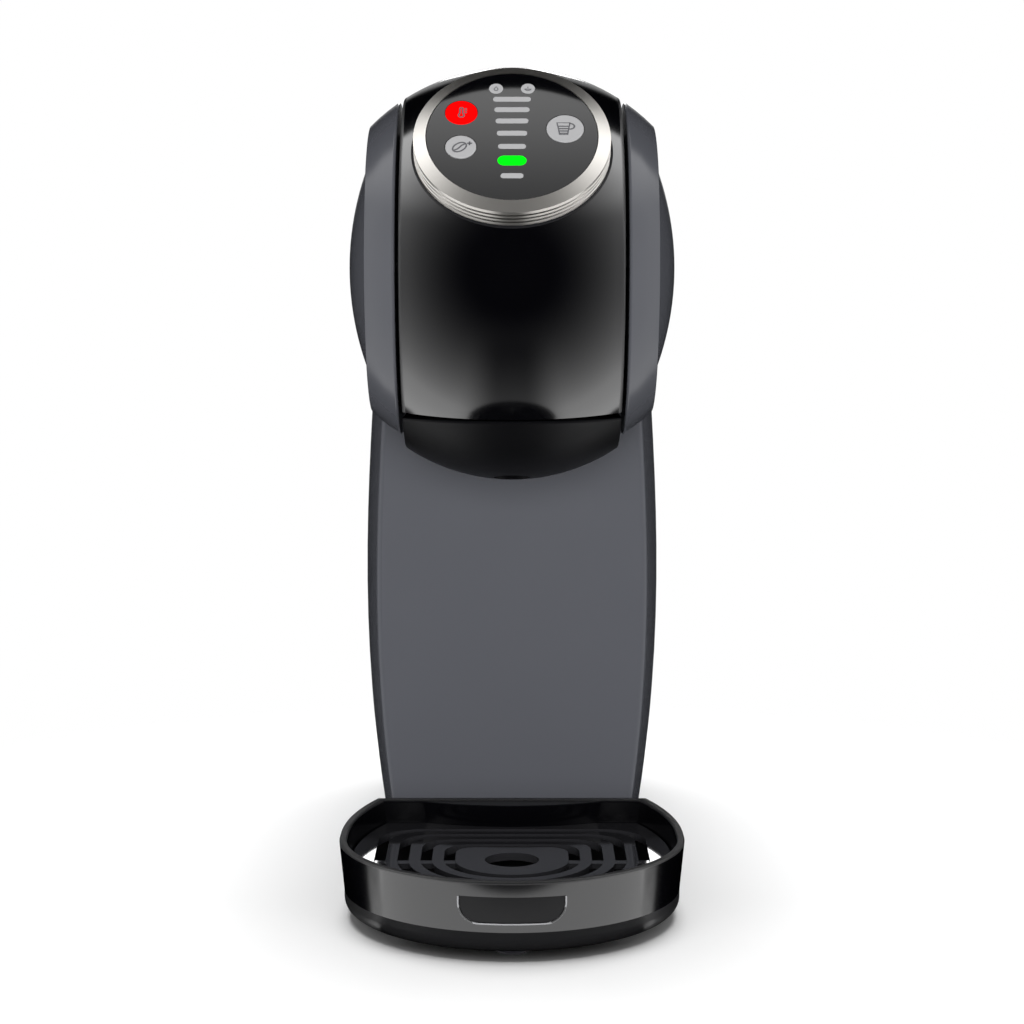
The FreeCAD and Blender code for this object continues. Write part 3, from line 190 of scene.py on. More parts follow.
class MachineFinishes(PropertyGroup):
    """Colours of the machine's finishes."""

    shell: colour("Shell", "Anthracite of the cheeks and the column", "#38393D")
    gloss: colour("Black gloss", "Polished black of the visor and the rim", "#020203")
    satin: colour("Black satin", "Satin black of the pod holder and the plate", "#050506")
    # Painted highlight: the light grey of the bead round the plate stands in for the light caught by the edge
    # of its recess
    edge: colour("Edge highlight", "Bright edge of the plate's recess", "#6E6E70")
    # Painted sheen: the grid's black is lifted to grey in place of the soft reflection on its bars
    grid: colour("Grid", "Black of the drip grid, lifted to grey as a painted sheen", "#1E1E20")
    charcoal: colour("Charcoal", "Grained plastic of the tray's lower band and the base", "#101011")
    ring: colour("Ring", "Brushed metal of the selector ring", "#D0CDC8")
    window: colour("Windows", "Pale grey of the unlit keys and bar lights", "#7D7D7E")
    symbol: colour("Symbols", "Dark print on the keys", "#3E3E41")
    hot: colour("Hot key", "Glow of the lit temperature key", "#FF0505")
    lit: colour("Lit bar", "Glow of the chosen bar light", "#04F012")
    smoke: colour("Tank", "Tint of the smoked clear tank", "#7E8286")


class MachinePrint(PropertyGroup):
    """Sizes of the printed symbols and of the bead round the plate."""

    stroke: FloatProperty(name="Stroke", description="Line width of the key symbols", default=0.5 * MM,
                          min=0.1 * MM, unit="LENGTH", precision=5)
    ink: FloatProperty(name="Ink height", description="Height of the printed symbols", default=0.04 * MM,
                       min=0.01 * MM, unit="LENGTH", precision=5)
    bead: FloatProperty(name="Bead", description="Width of the bead round the plate", default=0.45 * MM,
                        min=0.1 * MM, unit="LENGTH", precision=5)


class MachineStudio(PropertyGroup):
    """Camera and light."""

    distance: FloatProperty(name="Camera distance", description="Camera in front of the origin",
                            default=0.8609, unit="LENGTH")
    height: FloatProperty(name="Camera height", description="Camera above the worktop",
                          default=0.2243, unit="LENGTH")
    pitch: FloatProperty(name="Camera pitch", description="Camera looks down by this angle",
                         default=math.radians(6.626), subtype="ANGLE")
    lens: FloatProperty(name="Lens", description="Focal length on a 36 mm sensor", default=84.64)
    fill: FloatProperty(name="Fill light", description="Power of the front light; others are shares of it",
                        default=60.0, unit="POWER")
    surround: FloatProperty(name="Surround", description="Brightness of the light tent", default=2.2)


def add(tree, kind, inputs=None, **settings):
    """Adds a node to a tree; inputs maps socket names or numbers to values, or to sockets to link from."""
    item = tree.nodes.new(kind)
    for name, value in settings.items():
        setattr(item, name, value)
    for name, value in (inputs or {}).items():
        socket = item.inputs[name]
        if isinstance(value, bpy.types.NodeSocket):
            tree.links.new(value, socket)
        else:
            socket.default_value = value
    return item


def finish(name, base, roughness, **sockets):
    """A new material with one Principled shader; more of its sockets are given by name, with _ for spaces."""
    material = bpy.data.materials.new(name)
    material.use_nodes = True
    tree = material.node_tree
    tree.nodes.clear()
    shader = add(tree, "ShaderNodeBsdfPrincipled", {"Base Color": (*base, 1), "Roughness": roughness})
    for socket, value in sockets.items():
        shader.inputs[socket.replace("_", " ")].default_value = value
    add(tree, "ShaderNodeOutputMaterial", {"Surface": shader.outputs[0]})
    material.diffuse_color = (*base, 1)
    return material, tree, shader


def grain(tree, shader, size, height, gloss=None):
    """Moulded grain of a size and height in millimetres; its roughness drifts within gloss, if given."""
    place = add(tree, "ShaderNodeTexCoord").outputs["Object"]
    pebble = add(tree, "ShaderNodeTexNoise", {"Vector": place, "Scale": 1 / (size * MM), "Detail": 2.0})
    bump = add(tree, "ShaderNodeBump", {
        "Height": pebble.outputs["Fac"],
        "Distance": height * MM,
        "Strength": GRAIN_STRENGTH,
    })
    tree.links.new(bump.outputs[0], shader.inputs["Normal"])
    if gloss:
        cloud = add(tree, "ShaderNodeTexNoise", {"Vector": place, "Scale": 1 / CLOUD_SIZE, "Detail": 3.0})
        drift = add(tree, "ShaderNodeMapRange", {
            "Value": cloud.outputs["Fac"],
            "From Min": CLOUD_LOW,
            "From Max": CLOUD_HIGH,
            "To Min": gloss[0],
            "To Max": gloss[1],
        })
        tree.links.new(drift.outputs[0], shader.inputs["Roughness"])


def dull_edge(tree, shader, axis, start, end, polished, dull):
    """Roughness that rises from polished to dull along one axis, on both sides of zero."""
    place = add(tree, "ShaderNodeSeparateXYZ", {0: add(tree, "ShaderNodeTexCoord").outputs["Object"]})
    reach = add(tree, "ShaderNodeMath", {0: place.outputs[axis]}, operation="ABSOLUTE")
    rough = add(tree, "ShaderNodeMapRange", {
        "Value": reach.outputs[0],
        "From Min": start,
        "From Max": end,
        "To Min": polished,
        "To Max": dull,
    })
    tree.links.new(rough.outputs[0], shader.inputs["Roughness"])


def dress(material, *names):
    """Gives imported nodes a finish."""
    for name in names:
        mesh = NODES[name].data
        mesh.materials.clear()
        mesh.materials.append(material)


def dial_matrix():
    """The dial's own frame: face at zero, Z out of the face and Y up the slope."""
    joint = JOINTS["ring_turn"]
    out = Vector(joint["axis"]).normalized()
    across = Vector((1, 0, 0))
    turn = Matrix((across, out.cross(across), out)).transposed().to_4x4()
    return Matrix.Translation(Vector(joint["pos_m"])) @ turn


def new_object(name, mesh_maker, material):
    """A new object from a bmesh that the maker fills."""
    form = bmesh.new()
    mesh_maker(form)
    mesh = bpy.data.meshes.new(name)
    form.to_mesh(mesh)
    form.free()
    mesh.materials.append(material)
    thing = bpy.data.objects.new(name, mesh)
    bpy.context.scene.collection.objects.link(thing)
    return thing


def new_piece(name, mesh_maker, material, body):
    """A new closed piece that rides on a body."""
    def closed(form):
        mesh_maker(form)
        bmesh.ops.recalc_face_normals(form, faces=form.faces)

    piece = new_object(name, closed, material)
    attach(piece, body)


def sweep(form, rows, closed=False):
    """A bar through rows of four corners each."""
    rows = [[form.verts.new(corner) for corner in row] for row in rows]
    count = len(rows)
    for n in range(count if closed else count - 1):
        here, there = rows[n], rows[(n + 1) % count]
        for k in range(4):
            form.faces.new((here[k], here[(k + 1) % 4], there[(k + 1) % 4], there[k]))
    if not closed:
        form.faces.new(rows[0])
        form.faces.new(rows[-1])


def ribbon(form, path, width, low, high, closed=False):
    """A flat printed stroke along a path in the dial's plane."""
    count = len(path)
    rows = []
    for n, point in enumerate(path):
        before = path[n - 1] if closed or n else point
        after = path[(n + 1) % count] if closed or n < count - 1 else point
        way = (after - before).normalized()
        across = Vector((-way.y, way.x)) * width / 2
        left, right = point + across, point - across
        rows.append(((*left, low), (*left, high), (*right, high), (*right, low)))
    sweep(form, rows, closed)


def arc(middle, radii, start, end, steps=20, lean=0):
    """Points on an ellipse's arc, from one angle to another, leaning by an angle."""
    points = []
    for n in range(steps + 1):
        angle = math.radians(start + (end - start) * n / steps)
        spot = Vector((radii[0] * math.cos(angle), radii[1] * math.sin(angle)))
        spot.rotate(Matrix.Rotation(math.radians(lean), 2))
        points.append(Vector(middle) + spot)
    return points


def line(*spots):
    """Points of a straight-sided stroke."""
    return [Vector(spot) for spot in spots]


def key_symbols():
    """Strokes of each symbol, in millimetres about its key's middle: (path, closed)."""
    stem = arc((0, 1.5), (0.45, 0.45), 0, 180, steps=8)
    bulb = arc((0, -1.2), (0.85, 0.85), 122, 418, steps=16)
    thermometer = [(stem + bulb, True)]
    thermometer += [(line((1.0, y), (1.7, y)), False) for y in (1.5, 0.7, -0.1)]
    bean = [
        (arc((-0.4, -0.2), (2.4, 1.6), 0, 342, steps=28, lean=40), True),
        (line((-2.0, -1.5), (-0.9, -0.9), (-0.3, -0.2), (0.2, 0.5), (1.2, 1.1)), False),
        (line((2.7, 0.6), (2.7, 2.2)), False),
        (line((1.9, 1.4), (3.5, 1.4)), False),
    ]
    cup = [
        (line((-2.5, 2.4), (1.5, 2.4), (0.7, -2.6), (-1.7, -2.6)), True),
        (arc((1.4, 0.9), (1.5, 1.2), 96, -100, steps=14), False),
    ]
    # Level marks inside the cup's sloping sides, a millimetre apart
    slope = 0.16
    cup += [(line((-2.05 + slope * n, 0.9 - n), (1.05 - slope * n, 0.9 - n)), False) for n in range(4)]
    return {"temperature_key": thermometer, "boost_key": bean, "cup_key": cup}


def lamp_symbols():
    """Strokes of the two lamps' symbols, in millimetres about each lamp's middle."""
    drop = [(line((0, 0.9)) + arc((0, -0.25), (0.6, 0.6), 150, 390, steps=12), True)]
    steam = [
        (arc((0, -0.2), (0.9, 0.6), 180, 360, steps=10), False),
        (line((-1.1, -0.2), (1.1, -0.2)), False),
        (line((0, 0.2), (0, 0.9)), False),
    ]
    return {"left_lamp_symbol": drop, "right_lamp_symbol": steam}


def spread_of(node, matrix):
    """The lowest and highest corner of a node in a frame of its own."""
    turned = [matrix.inverted() @ corner.co for corner in NODES[node].data.vertices]
    return [Vector([pick(spot[k] for spot in turned) for k in range(3)]) for pick in (min, max)]


class COFFEE_OT_housing(Operator):
    """Finish the cheeks, the column, the base and the fixed covers"""

    bl_idname = "coffee.housing"
    bl_label = "Housing"

    def execute(self, context):
        colours = context.scene.machine_finishes
        # ABS moulded in a polished tool: an even semi-gloss skin with a very slight orange peel
        shell, tree, shader = finish("abs_moulded_anthracite", colours.shell, roughness=0.17, IOR=ABS_IOR,
                                     Specular_IOR_Level=0.14)
        grain(tree, shader, size=1.6, height=0.002, gloss=(0.15, 0.19))
        dress(shell, "left_shell", "right_shell", "left_side_cap", "right_side_cap", "column_front",
              "top_cover")
        # ABS with a spark-eroded grain: matt, with grains of about 0.4 mm, drawn at 0.9 mm so that they show
        matt, tree, shader = finish("abs_spark_eroded_charcoal", colours.charcoal, roughness=0.55,
                                    IOR=ABS_IOR)
        grain(tree, shader, size=0.9, height=0.03, gloss=(0.5, 0.62))
        dress(matt, "base_plate", "rear_panel", "head_rear_cover", "brew_frame", "guide_rails", "tank_lid")
        # Moulded rubber: dull, with a fine bloom
        rubber, tree, shader = finish("rubber_moulded_black", linear("#17171A"), roughness=0.85)
        grain(tree, shader, size=0.8, height=0.04, gloss=(0.78, 0.9))
        dress(rubber, "base_feet", "pump_mount", "cord_gland", "needle_seal", "tray_feet")
        return {"FINISHED"}


class COFFEE_OT_visor(Operator):
    """Finish the visor, its frame and the nylon parts inside"""

    bl_idname = "coffee.visor"
    bl_label = "Visor"

    def execute(self, context):
        colours = context.scene.machine_finishes
        # Polished black ABS: a deep gloss, duller on the round side edges, out of the polisher's reach
        gloss, tree, shader = finish("abs_polished_black", colours.gloss, roughness=0.12, IOR=ABS_IOR,
                                     Specular_IOR_Level=0.7)
        grain(tree, shader, size=9.0, height=0.002)
        half = max(spot.co.x for spot in NODES["visor_shell"].data.vertices)
        dull_edge(tree, shader, axis=0, start=half - 1.2 * MM, end=half - 0.6 * MM, polished=0.12, dull=0.5)
        dress(gloss, "visor_shell")
        # Glass-filled nylon: plain black and slightly fibrous
        nylon, tree, shader = finish("nylon_glass_filled_black", linear("#141416"), roughness=0.5)
        grain(tree, shader, size=1.2, height=0.02, gloss=(0.44, 0.56))
        dress(nylon, "visor_frame", "dial_cup", "key_switches", "needle_carriage", "tank_coupling",
              "tank_valve", "holder_insert")
        return {"FINISHED"}


class COFFEE_OT_dial(Operator):
    """Finish the selector ring, the panel, the keys and the lights, and print the key symbols"""

    bl_idname = "coffee.dial"
    bl_label = "Dial"

    def execute(self, context):
        colours = context.scene.machine_finishes
        matrix = dial_matrix()
        dress(self.turned_zinc(colours.ring, matrix), "selector_ring")
        # Back-printed polycarbonate: black under a hard, clear face
        face, _, _ = finish("polycarbonate_back_printed_black", colours.gloss, roughness=0.015,
                            IOR=POLYCARBONATE_IOR, Specular_IOR_Level=0.5)
        dress(face, "control_panel")
        # Milky polycarbonate: pale, slightly translucent light windows and key caps
        milk, tree, shader = finish("polycarbonate_milky_grey", colours.window, roughness=0.38,
                                    IOR=POLYCARBONATE_IOR)
        grain(tree, shader, size=1.2, height=0.004, gloss=(0.34, 0.42))
        dress(milk, "volume_bars", "indicator_lights", "boost_key", "cup_key")
        # The same caps with a lamp behind them
        for name, glow, node, power in (
            ("polycarbonate_lit_red", colours.hot, "temperature_key", 0.6),
            ("polycarbonate_lit_green", colours.lit, "active_bar", 1.0),
        ):
            lit, tree, shader = finish(name, [part * CAP_TINT for part in glow], roughness=0.38,
                                       IOR=POLYCARBONATE_IOR, Specular_IOR_Level=0.0,
                                       Emission_Color=(*glow, 1), Emission_Strength=power)
            grain(tree, shader, size=1.2, height=0.004, gloss=(0.34, 0.42))
            dress(lit, node)
        self.painted_bar_glow(matrix, context.scene.machine_print.ink)
        self.print_symbols(context, matrix)
        # Glass-fibre laminate under green solder mask
        laminate, tree, shader = finish("laminate_green_mask", linear("#1C5A33"), roughness=0.35)
        grain(tree, shader, size=1.1, height=0.01, gloss=(0.3, 0.4))
        dress(laminate, "panel_board", "main_board")
        return {"FINISHED"}

    def turned_zinc(self, base, matrix):
        """Satin zinc with a turned brush: bright along the light, with fine rings about the dial's axis."""
        metal, tree, shader = finish("zinc_turned_satin", base, roughness=0.3, Metallic=1.0, Anisotropic=0.85)
        place, turn, _ = matrix.decompose()
        coords = add(tree, "ShaderNodeTexCoord").outputs["Object"]
        local = add(tree, "ShaderNodeMapping", {
            "Vector": coords,
            "Location": place,
            "Rotation": turn.to_euler(),
        }, vector_type="TEXTURE")
        flat = add(tree, "ShaderNodeVectorMath", {0: local.outputs[0], 1: (1, 1, 0)}, operation="MULTIPLY")
        radius = add(tree, "ShaderNodeVectorMath", {0: flat.outputs[0]}, operation="LENGTH")
        brush = add(tree, "ShaderNodeTexNoise", {
            "W": radius.outputs["Value"],
            "Scale": 1 / BRUSH_SPACING,
            "Detail": 2.0,
        }, noise_dimensions="1D").outputs["Fac"]
        tone = add(tree, "ShaderNodeMapRange", {
            "Value": brush,
            "To Min": BRUSH_SMOOTH,
            "To Max": BRUSH_ROUGH,
        })
        tree.links.new(tone.outputs[0], shader.inputs["Roughness"])
        bump = add(tree, "ShaderNodeBump", {
            "Height": brush,
            "Distance": BRUSH_DEPTH,
            "Strength": BRUSH_STRENGTH,
        })
        tree.links.new(bump.outputs[0], shader.inputs["Normal"])
        # The highlight spreads across the brush lines, which run round the axis
        spoke = add(tree, "ShaderNodeVectorMath", {0: coords, 1: place}, operation="SUBTRACT")
        axis = matrix.to_3x3() @ Vector((0, 0, 1))
        lay = add(tree, "ShaderNodeVectorMath", {0: axis, 1: spoke.outputs[0]}, operation="CROSS_PRODUCT")
        lay = add(tree, "ShaderNodeVectorTransform", {0: lay.outputs[0]}, vector_type="VECTOR",
                  convert_from="OBJECT", convert_to="WORLD")
        normal = add(tree, "ShaderNodeNewGeometry").outputs["Normal"]
        across = add(tree, "ShaderNodeVectorMath", {0: normal, 1: lay.outputs[0]}, operation="CROSS_PRODUCT")
        tree.links.new(across.outputs[0], shader.inputs["Tangent"])
        return metal

    def painted_bar_glow(self, matrix, thickness):
        """A painted glow round the lit bar: an emissive patch on the panel, wider than the bar's window, so
        that the bar looks wider.
        """
        low, high = spread_of("active_bar", matrix)
        middle = ((low + high) / 2).to_2d()
        reach = (high.y - low.y) * GLOW_ENDS
        straight = (high.x - low.x) / 2 * GLOW_LENGTH - reach
        outline = arc(middle + Vector((straight, 0)), (reach, reach), -90, 90)
        outline += arc(middle - Vector((straight, 0)), (reach, reach), 90, 270)

        def fill(form):
            for level in (low.z, high.z + thickness):
                form.faces.new([form.verts.new((*spot, level)) for spot in outline])
            bmesh.ops.bridge_loops(form, edges=form.edges)
            bmesh.ops.transform(form, matrix=matrix, verts=form.verts)

        # Painted glow: the patch takes the lit bar's emissive finish and lies on the panel round the bar
        lit = NODES["active_bar"].data.materials[0]
        new_piece("active_bar_glow", fill, lit, "visor")

    def print_symbols(self, context, matrix):
        """Prints the symbols on the keys and lamps, just above each top."""
        marks = context.scene.machine_print
        # Screen ink: flat and dull
        ink, tree, shader = finish("screen_ink_grey", context.scene.machine_finishes.symbol, roughness=0.6)
        grain(tree, shader, size=1.0, height=0.002, gloss=(0.55, 0.65))

        def strokes(middle, top, drawing, width):
            def fill(form):
                for path, closed in drawing:
                    spots = [middle + spot * MM for spot in path]
                    ribbon(form, spots, width, top, top + marks.ink, closed)
                bmesh.ops.transform(form, matrix=matrix, verts=form.verts)
            return fill

        for node, drawing in key_symbols().items():
            low, high = spread_of(node, matrix)
            fill = strokes(((low + high) / 2).to_2d(), high.z, drawing, marks.stroke)
            new_piece(f"{node}_symbol", fill, ink, node)
        low, high = spread_of("indicator_lights", matrix)
        reach = (high.y - low.y) / 2
        for side, (name, drawing) in zip((-1, 1), lamp_symbols().items()):
            middle = Vector((side * (high.x - reach), (low.y + high.y) / 2))
            fill = strokes(middle, high.z, drawing, marks.stroke * LAMP_STROKE)
            new_piece(name, fill, ink, "visor")


class COFFEE_OT_holder(Operator):
    """Finish the pod holder and the brewing parts"""

    bl_idname = "coffee.holder"
    bl_label = "Pod holder"

    def execute(self, context):
        colours = context.scene.machine_finishes
        # Satin polypropylene: a soft, low gloss
        satin, tree, shader = finish("polypropylene_satin_black", colours.satin, roughness=0.4,
                                     IOR=POLYPROPYLENE_IOR, Specular_IOR_Level=0.08)
        grain(tree, shader, size=1.4, height=0.006, gloss=(0.36, 0.44))
        dress(satin, "capsule_holder")
        # Turned stainless steel: bright, with a slight haze
        steel, tree, shader = finish("stainless_turned", linear("#C3C2C0"), roughness=0.25, Metallic=1.0)
        grain(tree, shader, size=0.7, height=0.004, gloss=(0.2, 0.32))
        dress(steel, "injection_needle", "guide_posts", "hinge_pins", "lid_pin")
        # Die-cast aluminium, left as cast: pale and dull
        cast, tree, shader = finish("aluminium_die_cast", linear("#A9AAAC"), roughness=0.5, Metallic=1.0)
        grain(tree, shader, size=1.5, height=0.03, gloss=(0.42, 0.58))
        dress(cast, "heater_block")
        # Powder-coated steel: grey, with a fine orange peel
        coat, tree, shader = finish("steel_powder_coated_grey", linear("#5F6164"), roughness=0.55)
        grain(tree, shader, size=1.0, height=0.03, gloss=(0.5, 0.62))
        dress(coat, "water_pump")
        return {"FINISHED"}


class COFFEE_OT_tray(Operator):
    """Finish the drip tray, its rim, the plain plate and the grid"""

    bl_idname = "coffee.tray"
    bl_label = "Drip tray"

    def execute(self, context):
        colours = context.scene.machine_finishes
        # Polished black ABS, softened by wiping; its lip is as moulded, and so duller than the wall
        rim, tree, shader = finish("abs_polished_black_wiped", colours.gloss, roughness=0.14, IOR=ABS_IOR,
                                   Specular_IOR_Level=0.7)
        grain(tree, shader, size=7.0, height=0.002)
        top = max(spot.co.z for spot in NODES["tray_rim"].data.vertices)
        dull_edge(tree, shader, axis=2, start=top - 1.2 * MM, end=top - 0.4 * MM, polished=0.14, dull=0.6)
        dress(rim, "tray_rim")
        # The grid is the same plastic, its black lifted to grey as a painted sheen
        grid, tree, shader = finish("abs_polished_black_painted_sheen", colours.grid, roughness=0.05, IOR=ABS_IOR,
                                    Specular_IOR_Level=0.7)
        grain(tree, shader, size=9.0, height=0.001, gloss=(0.04, 0.07))
        dress(grid, "drip_grid")
        # The plain plate is satin, so that it reads as a separate insert
        plate, tree, shader = finish("abs_satin_insert", colours.satin, roughness=0.36, IOR=ABS_IOR,
                                     Specular_IOR_Level=0.19)
        grain(tree, shader, size=1.0, height=0.008, gloss=(0.32, 0.42))
        dress(plate, "front_plate")
        # The moulded edge of the plate's recess gets a painted highlight: a light grey bead
        edge_highlight, tree, shader = finish("abs_painted_edge_highlight", colours.edge, roughness=0.3, IOR=ABS_IOR)
        grain(tree, shader, size=1.0, height=0.004, gloss=(0.26, 0.34))
        self.plate_bead(edge_highlight, context.scene.machine_print.bead)
        # Finely grained ABS: charcoal with a low sheen
        band, tree, shader = finish("abs_grained_charcoal", colours.charcoal, roughness=0.34, IOR=ABS_IOR)
        grain(tree, shader, size=0.9, height=0.01, gloss=(0.3, 0.38))
        dress(band, "drip_tray")
        return {"FINISHED"}

    def plate_bead(self, material, width):
        """A fine bead on the rim's face, round the sides and the foot of the plain plate, carrying the
        painted highlight.
        """
        corners = [spot.co.xz for spot in NODES["front_plate"].data.vertices]
        outline = [corners[n] for n in geometry.convex_hull_2d(corners)]
        # The outline runs from the top left corner, down and round to the top right one
        top = max(spot.y for spot in outline) - TOP_EDGE
        start = min((n for n, spot in enumerate(outline) if spot.y > top), key=lambda n: outline[n].x)
        outline = outline[start:] + outline[:start]
        middle = sum(outline, Vector((0, 0))) / len(outline)
        if outline[1].y > top:
            outline = outline[:1] + outline[:0:-1]
        path = []
        for here, there in zip(outline, outline[1:]):
            steps = max(1, round((there - here).length / BEAD_STEP))
            path += [here.lerp(there, n / steps) for n in range(steps)]
        path.append(outline[-1])

        rim = NODES["tray_rim"].data
        sides = [side.vertices for side in rim.polygons]
        face = BVHTree.FromPolygons([spot.co for spot in rim.vertices], sides)
        back = Vector((0, 1, 0))
        rows = []
        for n, spot in enumerate(path):
            way = (path[min(n + 1, len(path) - 1)] - path[max(n - 1, 0)]).normalized()
            off = Vector((way.y, -way.x))
            off *= math.copysign(width, off.dot(spot - middle))
            inner, outer = (spot + off * share for share in (BEAD_INNER, BEAD_OUTER))
            near, out, _, _ = face.ray_cast(Vector((inner.x, RAY_START, inner.y)), back)
            far, _, _, _ = face.ray_cast(Vector((outer.x, RAY_START, outer.y)), back)
            proud, sunk = out * BEAD_PROUD, out * BEAD_SUNK
            rows.append((near - sunk, near + proud, far + proud, far - sunk))
        new_piece("plate_bead", lambda form: sweep(form, rows), material, "tray")


class COFFEE_OT_tank(Operator):
    """Finish the water tank"""

    bl_idname = "coffee.tank"
    bl_label = "Water tank"

    def execute(self, context):
        colours = context.scene.machine_finishes
        # Smoked styrene-acrylonitrile: clear, tinted and polished
        smoke, tree, shader = finish("san_smoked_clear", colours.smoke, roughness=0.08, IOR=SAN_IOR,
                                     Transmission_Weight=0.92)
        grain(tree, shader, size=12.0, height=0.0005, gloss=(0.06, 0.09))
        dress(smoke, "tank_shell")
        return {"FINISHED"}


class COFFEE_OT_studio(Operator):
    """Set the floor, the light and the camera"""

    bl_idname = "coffee.studio"
    bl_label = "Studio"

    def execute(self, context):
        scene = context.scene
        studio = scene.machine_studio
        floor = self.paper_floor()
        self.bounce_card()
        self.front_camera(scene, studio)
        self.soft_lights(scene, floor, studio.fill)
        self.light_tent(scene, studio.surround)
        scene.view_settings.view_transform = "Standard"
        return {"FINISHED"}

    def paper_floor(self):
        """Pale paper that fades into the white room."""
        paper, tree, shader = finish("paper_pale", linear("#EDEDED"), roughness=0.9, Specular_IOR_Level=0.1)
        place = add(tree, "ShaderNodeTexCoord").outputs["Object"]
        reach = add(tree, "ShaderNodeVectorMath", {0: place}, operation="LENGTH").outputs["Value"]
        fade = add(tree, "ShaderNodeMapRange", {
            "Value": reach,
            "From Min": FLOOR_FADE_START,
            "From Max": FLOOR_FADE_END,
        }, interpolation_type="SMOOTHSTEP")
        clear = add(tree, "ShaderNodeBsdfTransparent")
        both = add(tree, "ShaderNodeMixShader", {
            0: fade.outputs[0],
            1: shader.outputs[0],
            2: clear.outputs[0],
        })
        tree.links.new(both.outputs[0], tree.nodes["Material Output"].inputs["Surface"])

        def disc(form):
            bmesh.ops.create_circle(form, cap_ends=True, radius=FLOOR_RADIUS, segments=96)

        floor = new_object("floor", disc, paper)
        floor.location = FLOOR_MIDDLE
        floor.visible_glossy = False
        return floor

    def bounce_card(self):
        """A white card on the floor in front of the tray, seen only in the tray's reflections."""
        white = bpy.data.materials.new("card_white_lit")
        white.use_nodes = True
        tree = white.node_tree
        tree.nodes.clear()
        # Only the tray is near enough to see the card: from further off it is clear
        reach = add(tree, "ShaderNodeLightPath").outputs["Ray Length"]
        far = add(tree, "ShaderNodeMath", {0: reach, 1: CARD_REACH}, operation="GREATER_THAN")
        clear = add(tree, "ShaderNodeBsdfTransparent")
        glow = add(tree, "ShaderNodeEmission", {"Strength": CARD_GLOW})
        both = add(tree, "ShaderNodeMixShader", {0: far.outputs[0], 1: glow.outputs[0], 2: clear.outputs[0]})
        add(tree, "ShaderNodeOutputMaterial", {"Surface": both.outputs[0]})

        def sheet(form):
            bmesh.ops.create_grid(form, x_segments=1, y_segments=1, size=0.5)

        card = new_object("bounce_card", sheet, white)
        card.scale = CARD_SIZE
        card.location = CARD_MIDDLE
        card.visible_camera = card.visible_diffuse = card.visible_shadow = card.visible_transmission = False
        receivers = bpy.data.collections.new("card_receivers")
        for name in ("tray_rim", "front_plate"):
            receivers.objects.link(NODES[name])
        card.light_linking.receiver_collection = receivers

    def front_camera(self, scene, studio):
        """A camera straight in front, looking slightly down."""
        camera = bpy.data.objects.new("camera", bpy.data.cameras.new("camera"))
        camera.data.lens = studio.lens
        camera.data.sensor_width = SENSOR_WIDTH_MM
        camera.data.clip_end = VIEW_END
        camera.location = (0, -studio.distance, studio.height)
        camera.rotation_euler = (math.pi / 2 - studio.pitch, 0, 0)
        scene.collection.objects.link(camera)
        scene.camera = camera

    def soft_lights(self, scene, floor, power):
        """Soft lights for the machine, and a lamp above for the floor alone, to keep its shadow close."""
        groups = {}
        for name, state in (("floor_lit", "INCLUDE"), ("floor_unlit", "EXCLUDE")):
            groups[name] = bpy.data.collections.new(name)
            groups[name].objects.link(floor)
            groups[name].collection_objects[0].light_linking.link_state = state
        for name, place, size, share, group in LIGHTS:
            lamp = bpy.data.lights.new(name, "AREA")
            lamp.energy = power * share
            lamp.size = size
            light = bpy.data.objects.new(name, lamp)
            light.location = place
            light.rotation_euler = (LIGHT_AIM - Vector(place)).to_track_quat("-Z", "Y").to_euler()
            light.visible_glossy = False
            scene.collection.objects.link(light)
            light.light_linking.receiver_collection = groups[group]

    def light_tent(self, scene, strength):
        """A white tent that shows in gloss alone, round a plain white room."""
        world = bpy.data.worlds.new("light_tent")
        scene.world = world
        world.use_nodes = True
        tree = world.node_tree
        tree.nodes.clear()
        way = add(tree, "ShaderNodeSeparateXYZ", {0: add(tree, "ShaderNodeTexCoord").outputs["Generated"]})
        known = dict(zip(("across", "along", "up"), way.outputs))
        for name, operation, *sources in TENT_WAYS:
            inputs = {n: known.get(source, source) for n, source in enumerate(sources)}
            known[name] = add(tree, "ShaderNodeMath", inputs, operation=operation).outputs[0]
        for name, ramps in TENT_PATCHES.items():
            patch = 1.0
            for direction, low, high, before, after in ramps:
                ramp = add(tree, "ShaderNodeMapRange", {
                    "Value": known[direction],
                    "From Min": low,
                    "From Max": high,
                    "To Min": before,
                    "To Max": after,
                }, interpolation_type="SMOOTHSTEP").outputs[0]
                patch = add(tree, "ShaderNodeMath", {0: patch, 1: ramp}, operation="MULTIPLY").outputs[0]
            known[name] = patch

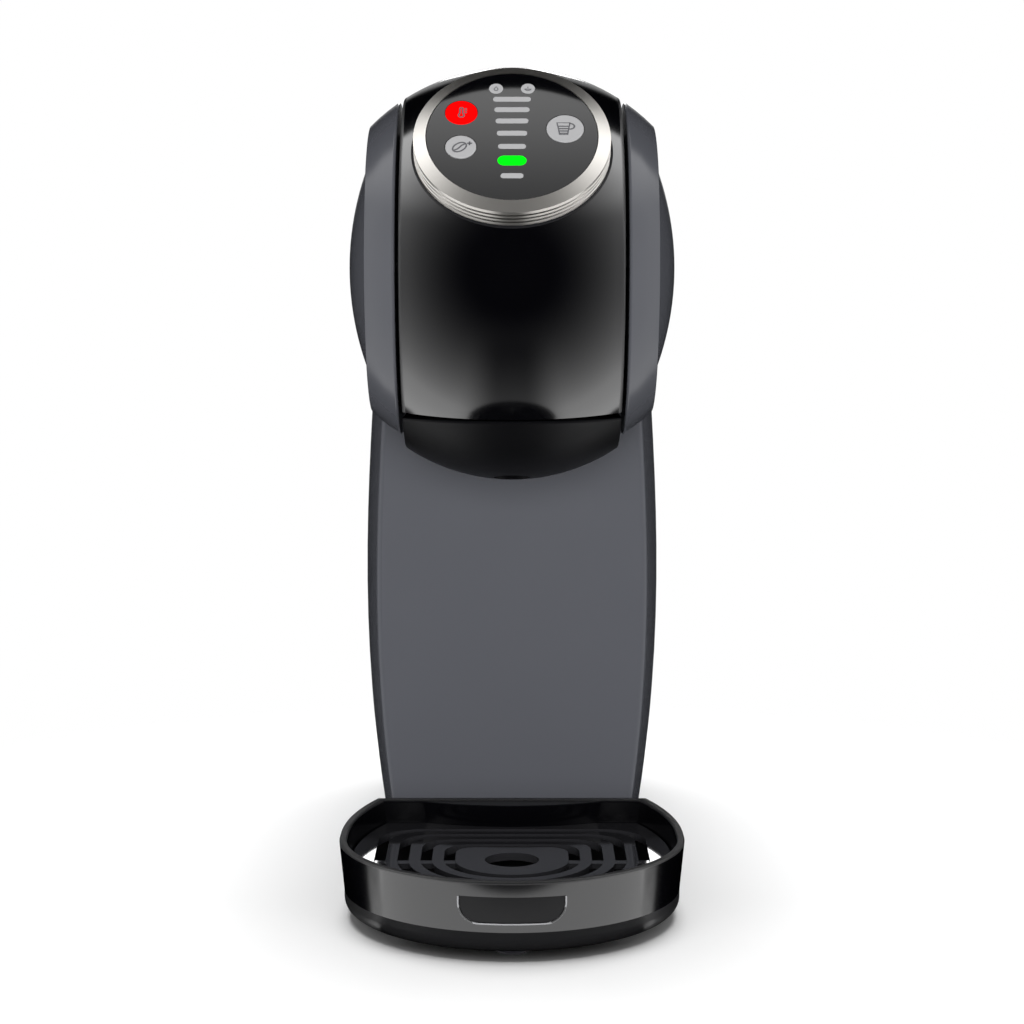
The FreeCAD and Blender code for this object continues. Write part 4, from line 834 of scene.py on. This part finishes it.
        rise = add(tree, "ShaderNodeMapRange", {
            "Value": known["turn"],
            "From Min": RISE_START,
            "From Max": RISE_END,
        }).outputs[0]
        light = add(tree, "ShaderNodeMath", {0: rise, 1: RISE_POWER}, operation="POWER").outputs[0]
        for operation, *sources in TENT_FACTORS:
            inputs = {n: known.get(source, source) for n, source in enumerate(sources)}
            factor = add(tree, "ShaderNodeMath", inputs, operation=operation).outputs[0]
            light = add(tree, "ShaderNodeMath", {0: light, 1: factor}, operation="MULTIPLY").outputs[0]
        for operation, value in (("MULTIPLY", strength), ("ADD", known["wall"]), ("ADD", known["lamp"])):
            light = add(tree, "ShaderNodeMath", {0: light, 1: value}, operation=operation).outputs[0]

        dull, glossy, seen = (
            add(tree, "ShaderNodeBackground", {"Color": (1, 1, 1, 1), "Strength": power}).outputs[0]
            for power in (ROOM_LIGHT, light, ROOM_WHITE)
        )
        path = add(tree, "ShaderNodeLightPath").outputs
        room = add(tree, "ShaderNodeMixShader", {0: path["Is Glossy Ray"], 1: dull, 2: glossy})
        both = add(tree, "ShaderNodeMixShader", {0: path["Is Camera Ray"], 1: room.outputs[0], 2: seen})
        add(tree, "ShaderNodeOutputWorld", {"Surface": both.outputs[0]})


OPERATORS = (
    COFFEE_OT_housing,
    COFFEE_OT_visor,
    COFFEE_OT_dial,
    COFFEE_OT_holder,
    COFFEE_OT_tray,
    COFFEE_OT_tank,
    COFFEE_OT_studio,
)


class COFFEE_PT_machine(Panel):
    """Lists the machine's groups of pieces, and what can be set"""

    bl_idname = "COFFEE_PT_machine"
    bl_label = "Coffee Machine"
    bl_space_type = "VIEW_3D"
    bl_region_type = "UI"
    bl_category = "Coffee Machine"

    def draw(self, context):
        scene = context.scene
        for operator in OPERATORS:
            self.layout.operator(operator.bl_idname)
        for group in (scene.machine_finishes, scene.machine_print, scene.machine_studio):
            box = self.layout.box()
            for name in group.__annotations__:
                box.prop(group, name)


CLASSES = (MachineFinishes, MachinePrint, MachineStudio, *OPERATORS, COFFEE_PT_machine)


def register():
    for item in CLASSES:
        bpy.utils.register_class(item)
    bpy.types.Scene.machine_finishes = PointerProperty(type=MachineFinishes)
    bpy.types.Scene.machine_print = PointerProperty(type=MachinePrint)
    bpy.types.Scene.machine_studio = PointerProperty(type=MachineStudio)


def unregister():
    del bpy.types.Scene.machine_studio
    del bpy.types.Scene.machine_print
    del bpy.types.Scene.machine_finishes
    for item in reversed(CLASSES):
        bpy.utils.unregister_class(item)


def main():
    register()
    for operator in OPERATORS:
        space, name = operator.bl_idname.split(".")
        getattr(getattr(bpy.ops, space), name)()


if __name__ == "__main__":
    main()
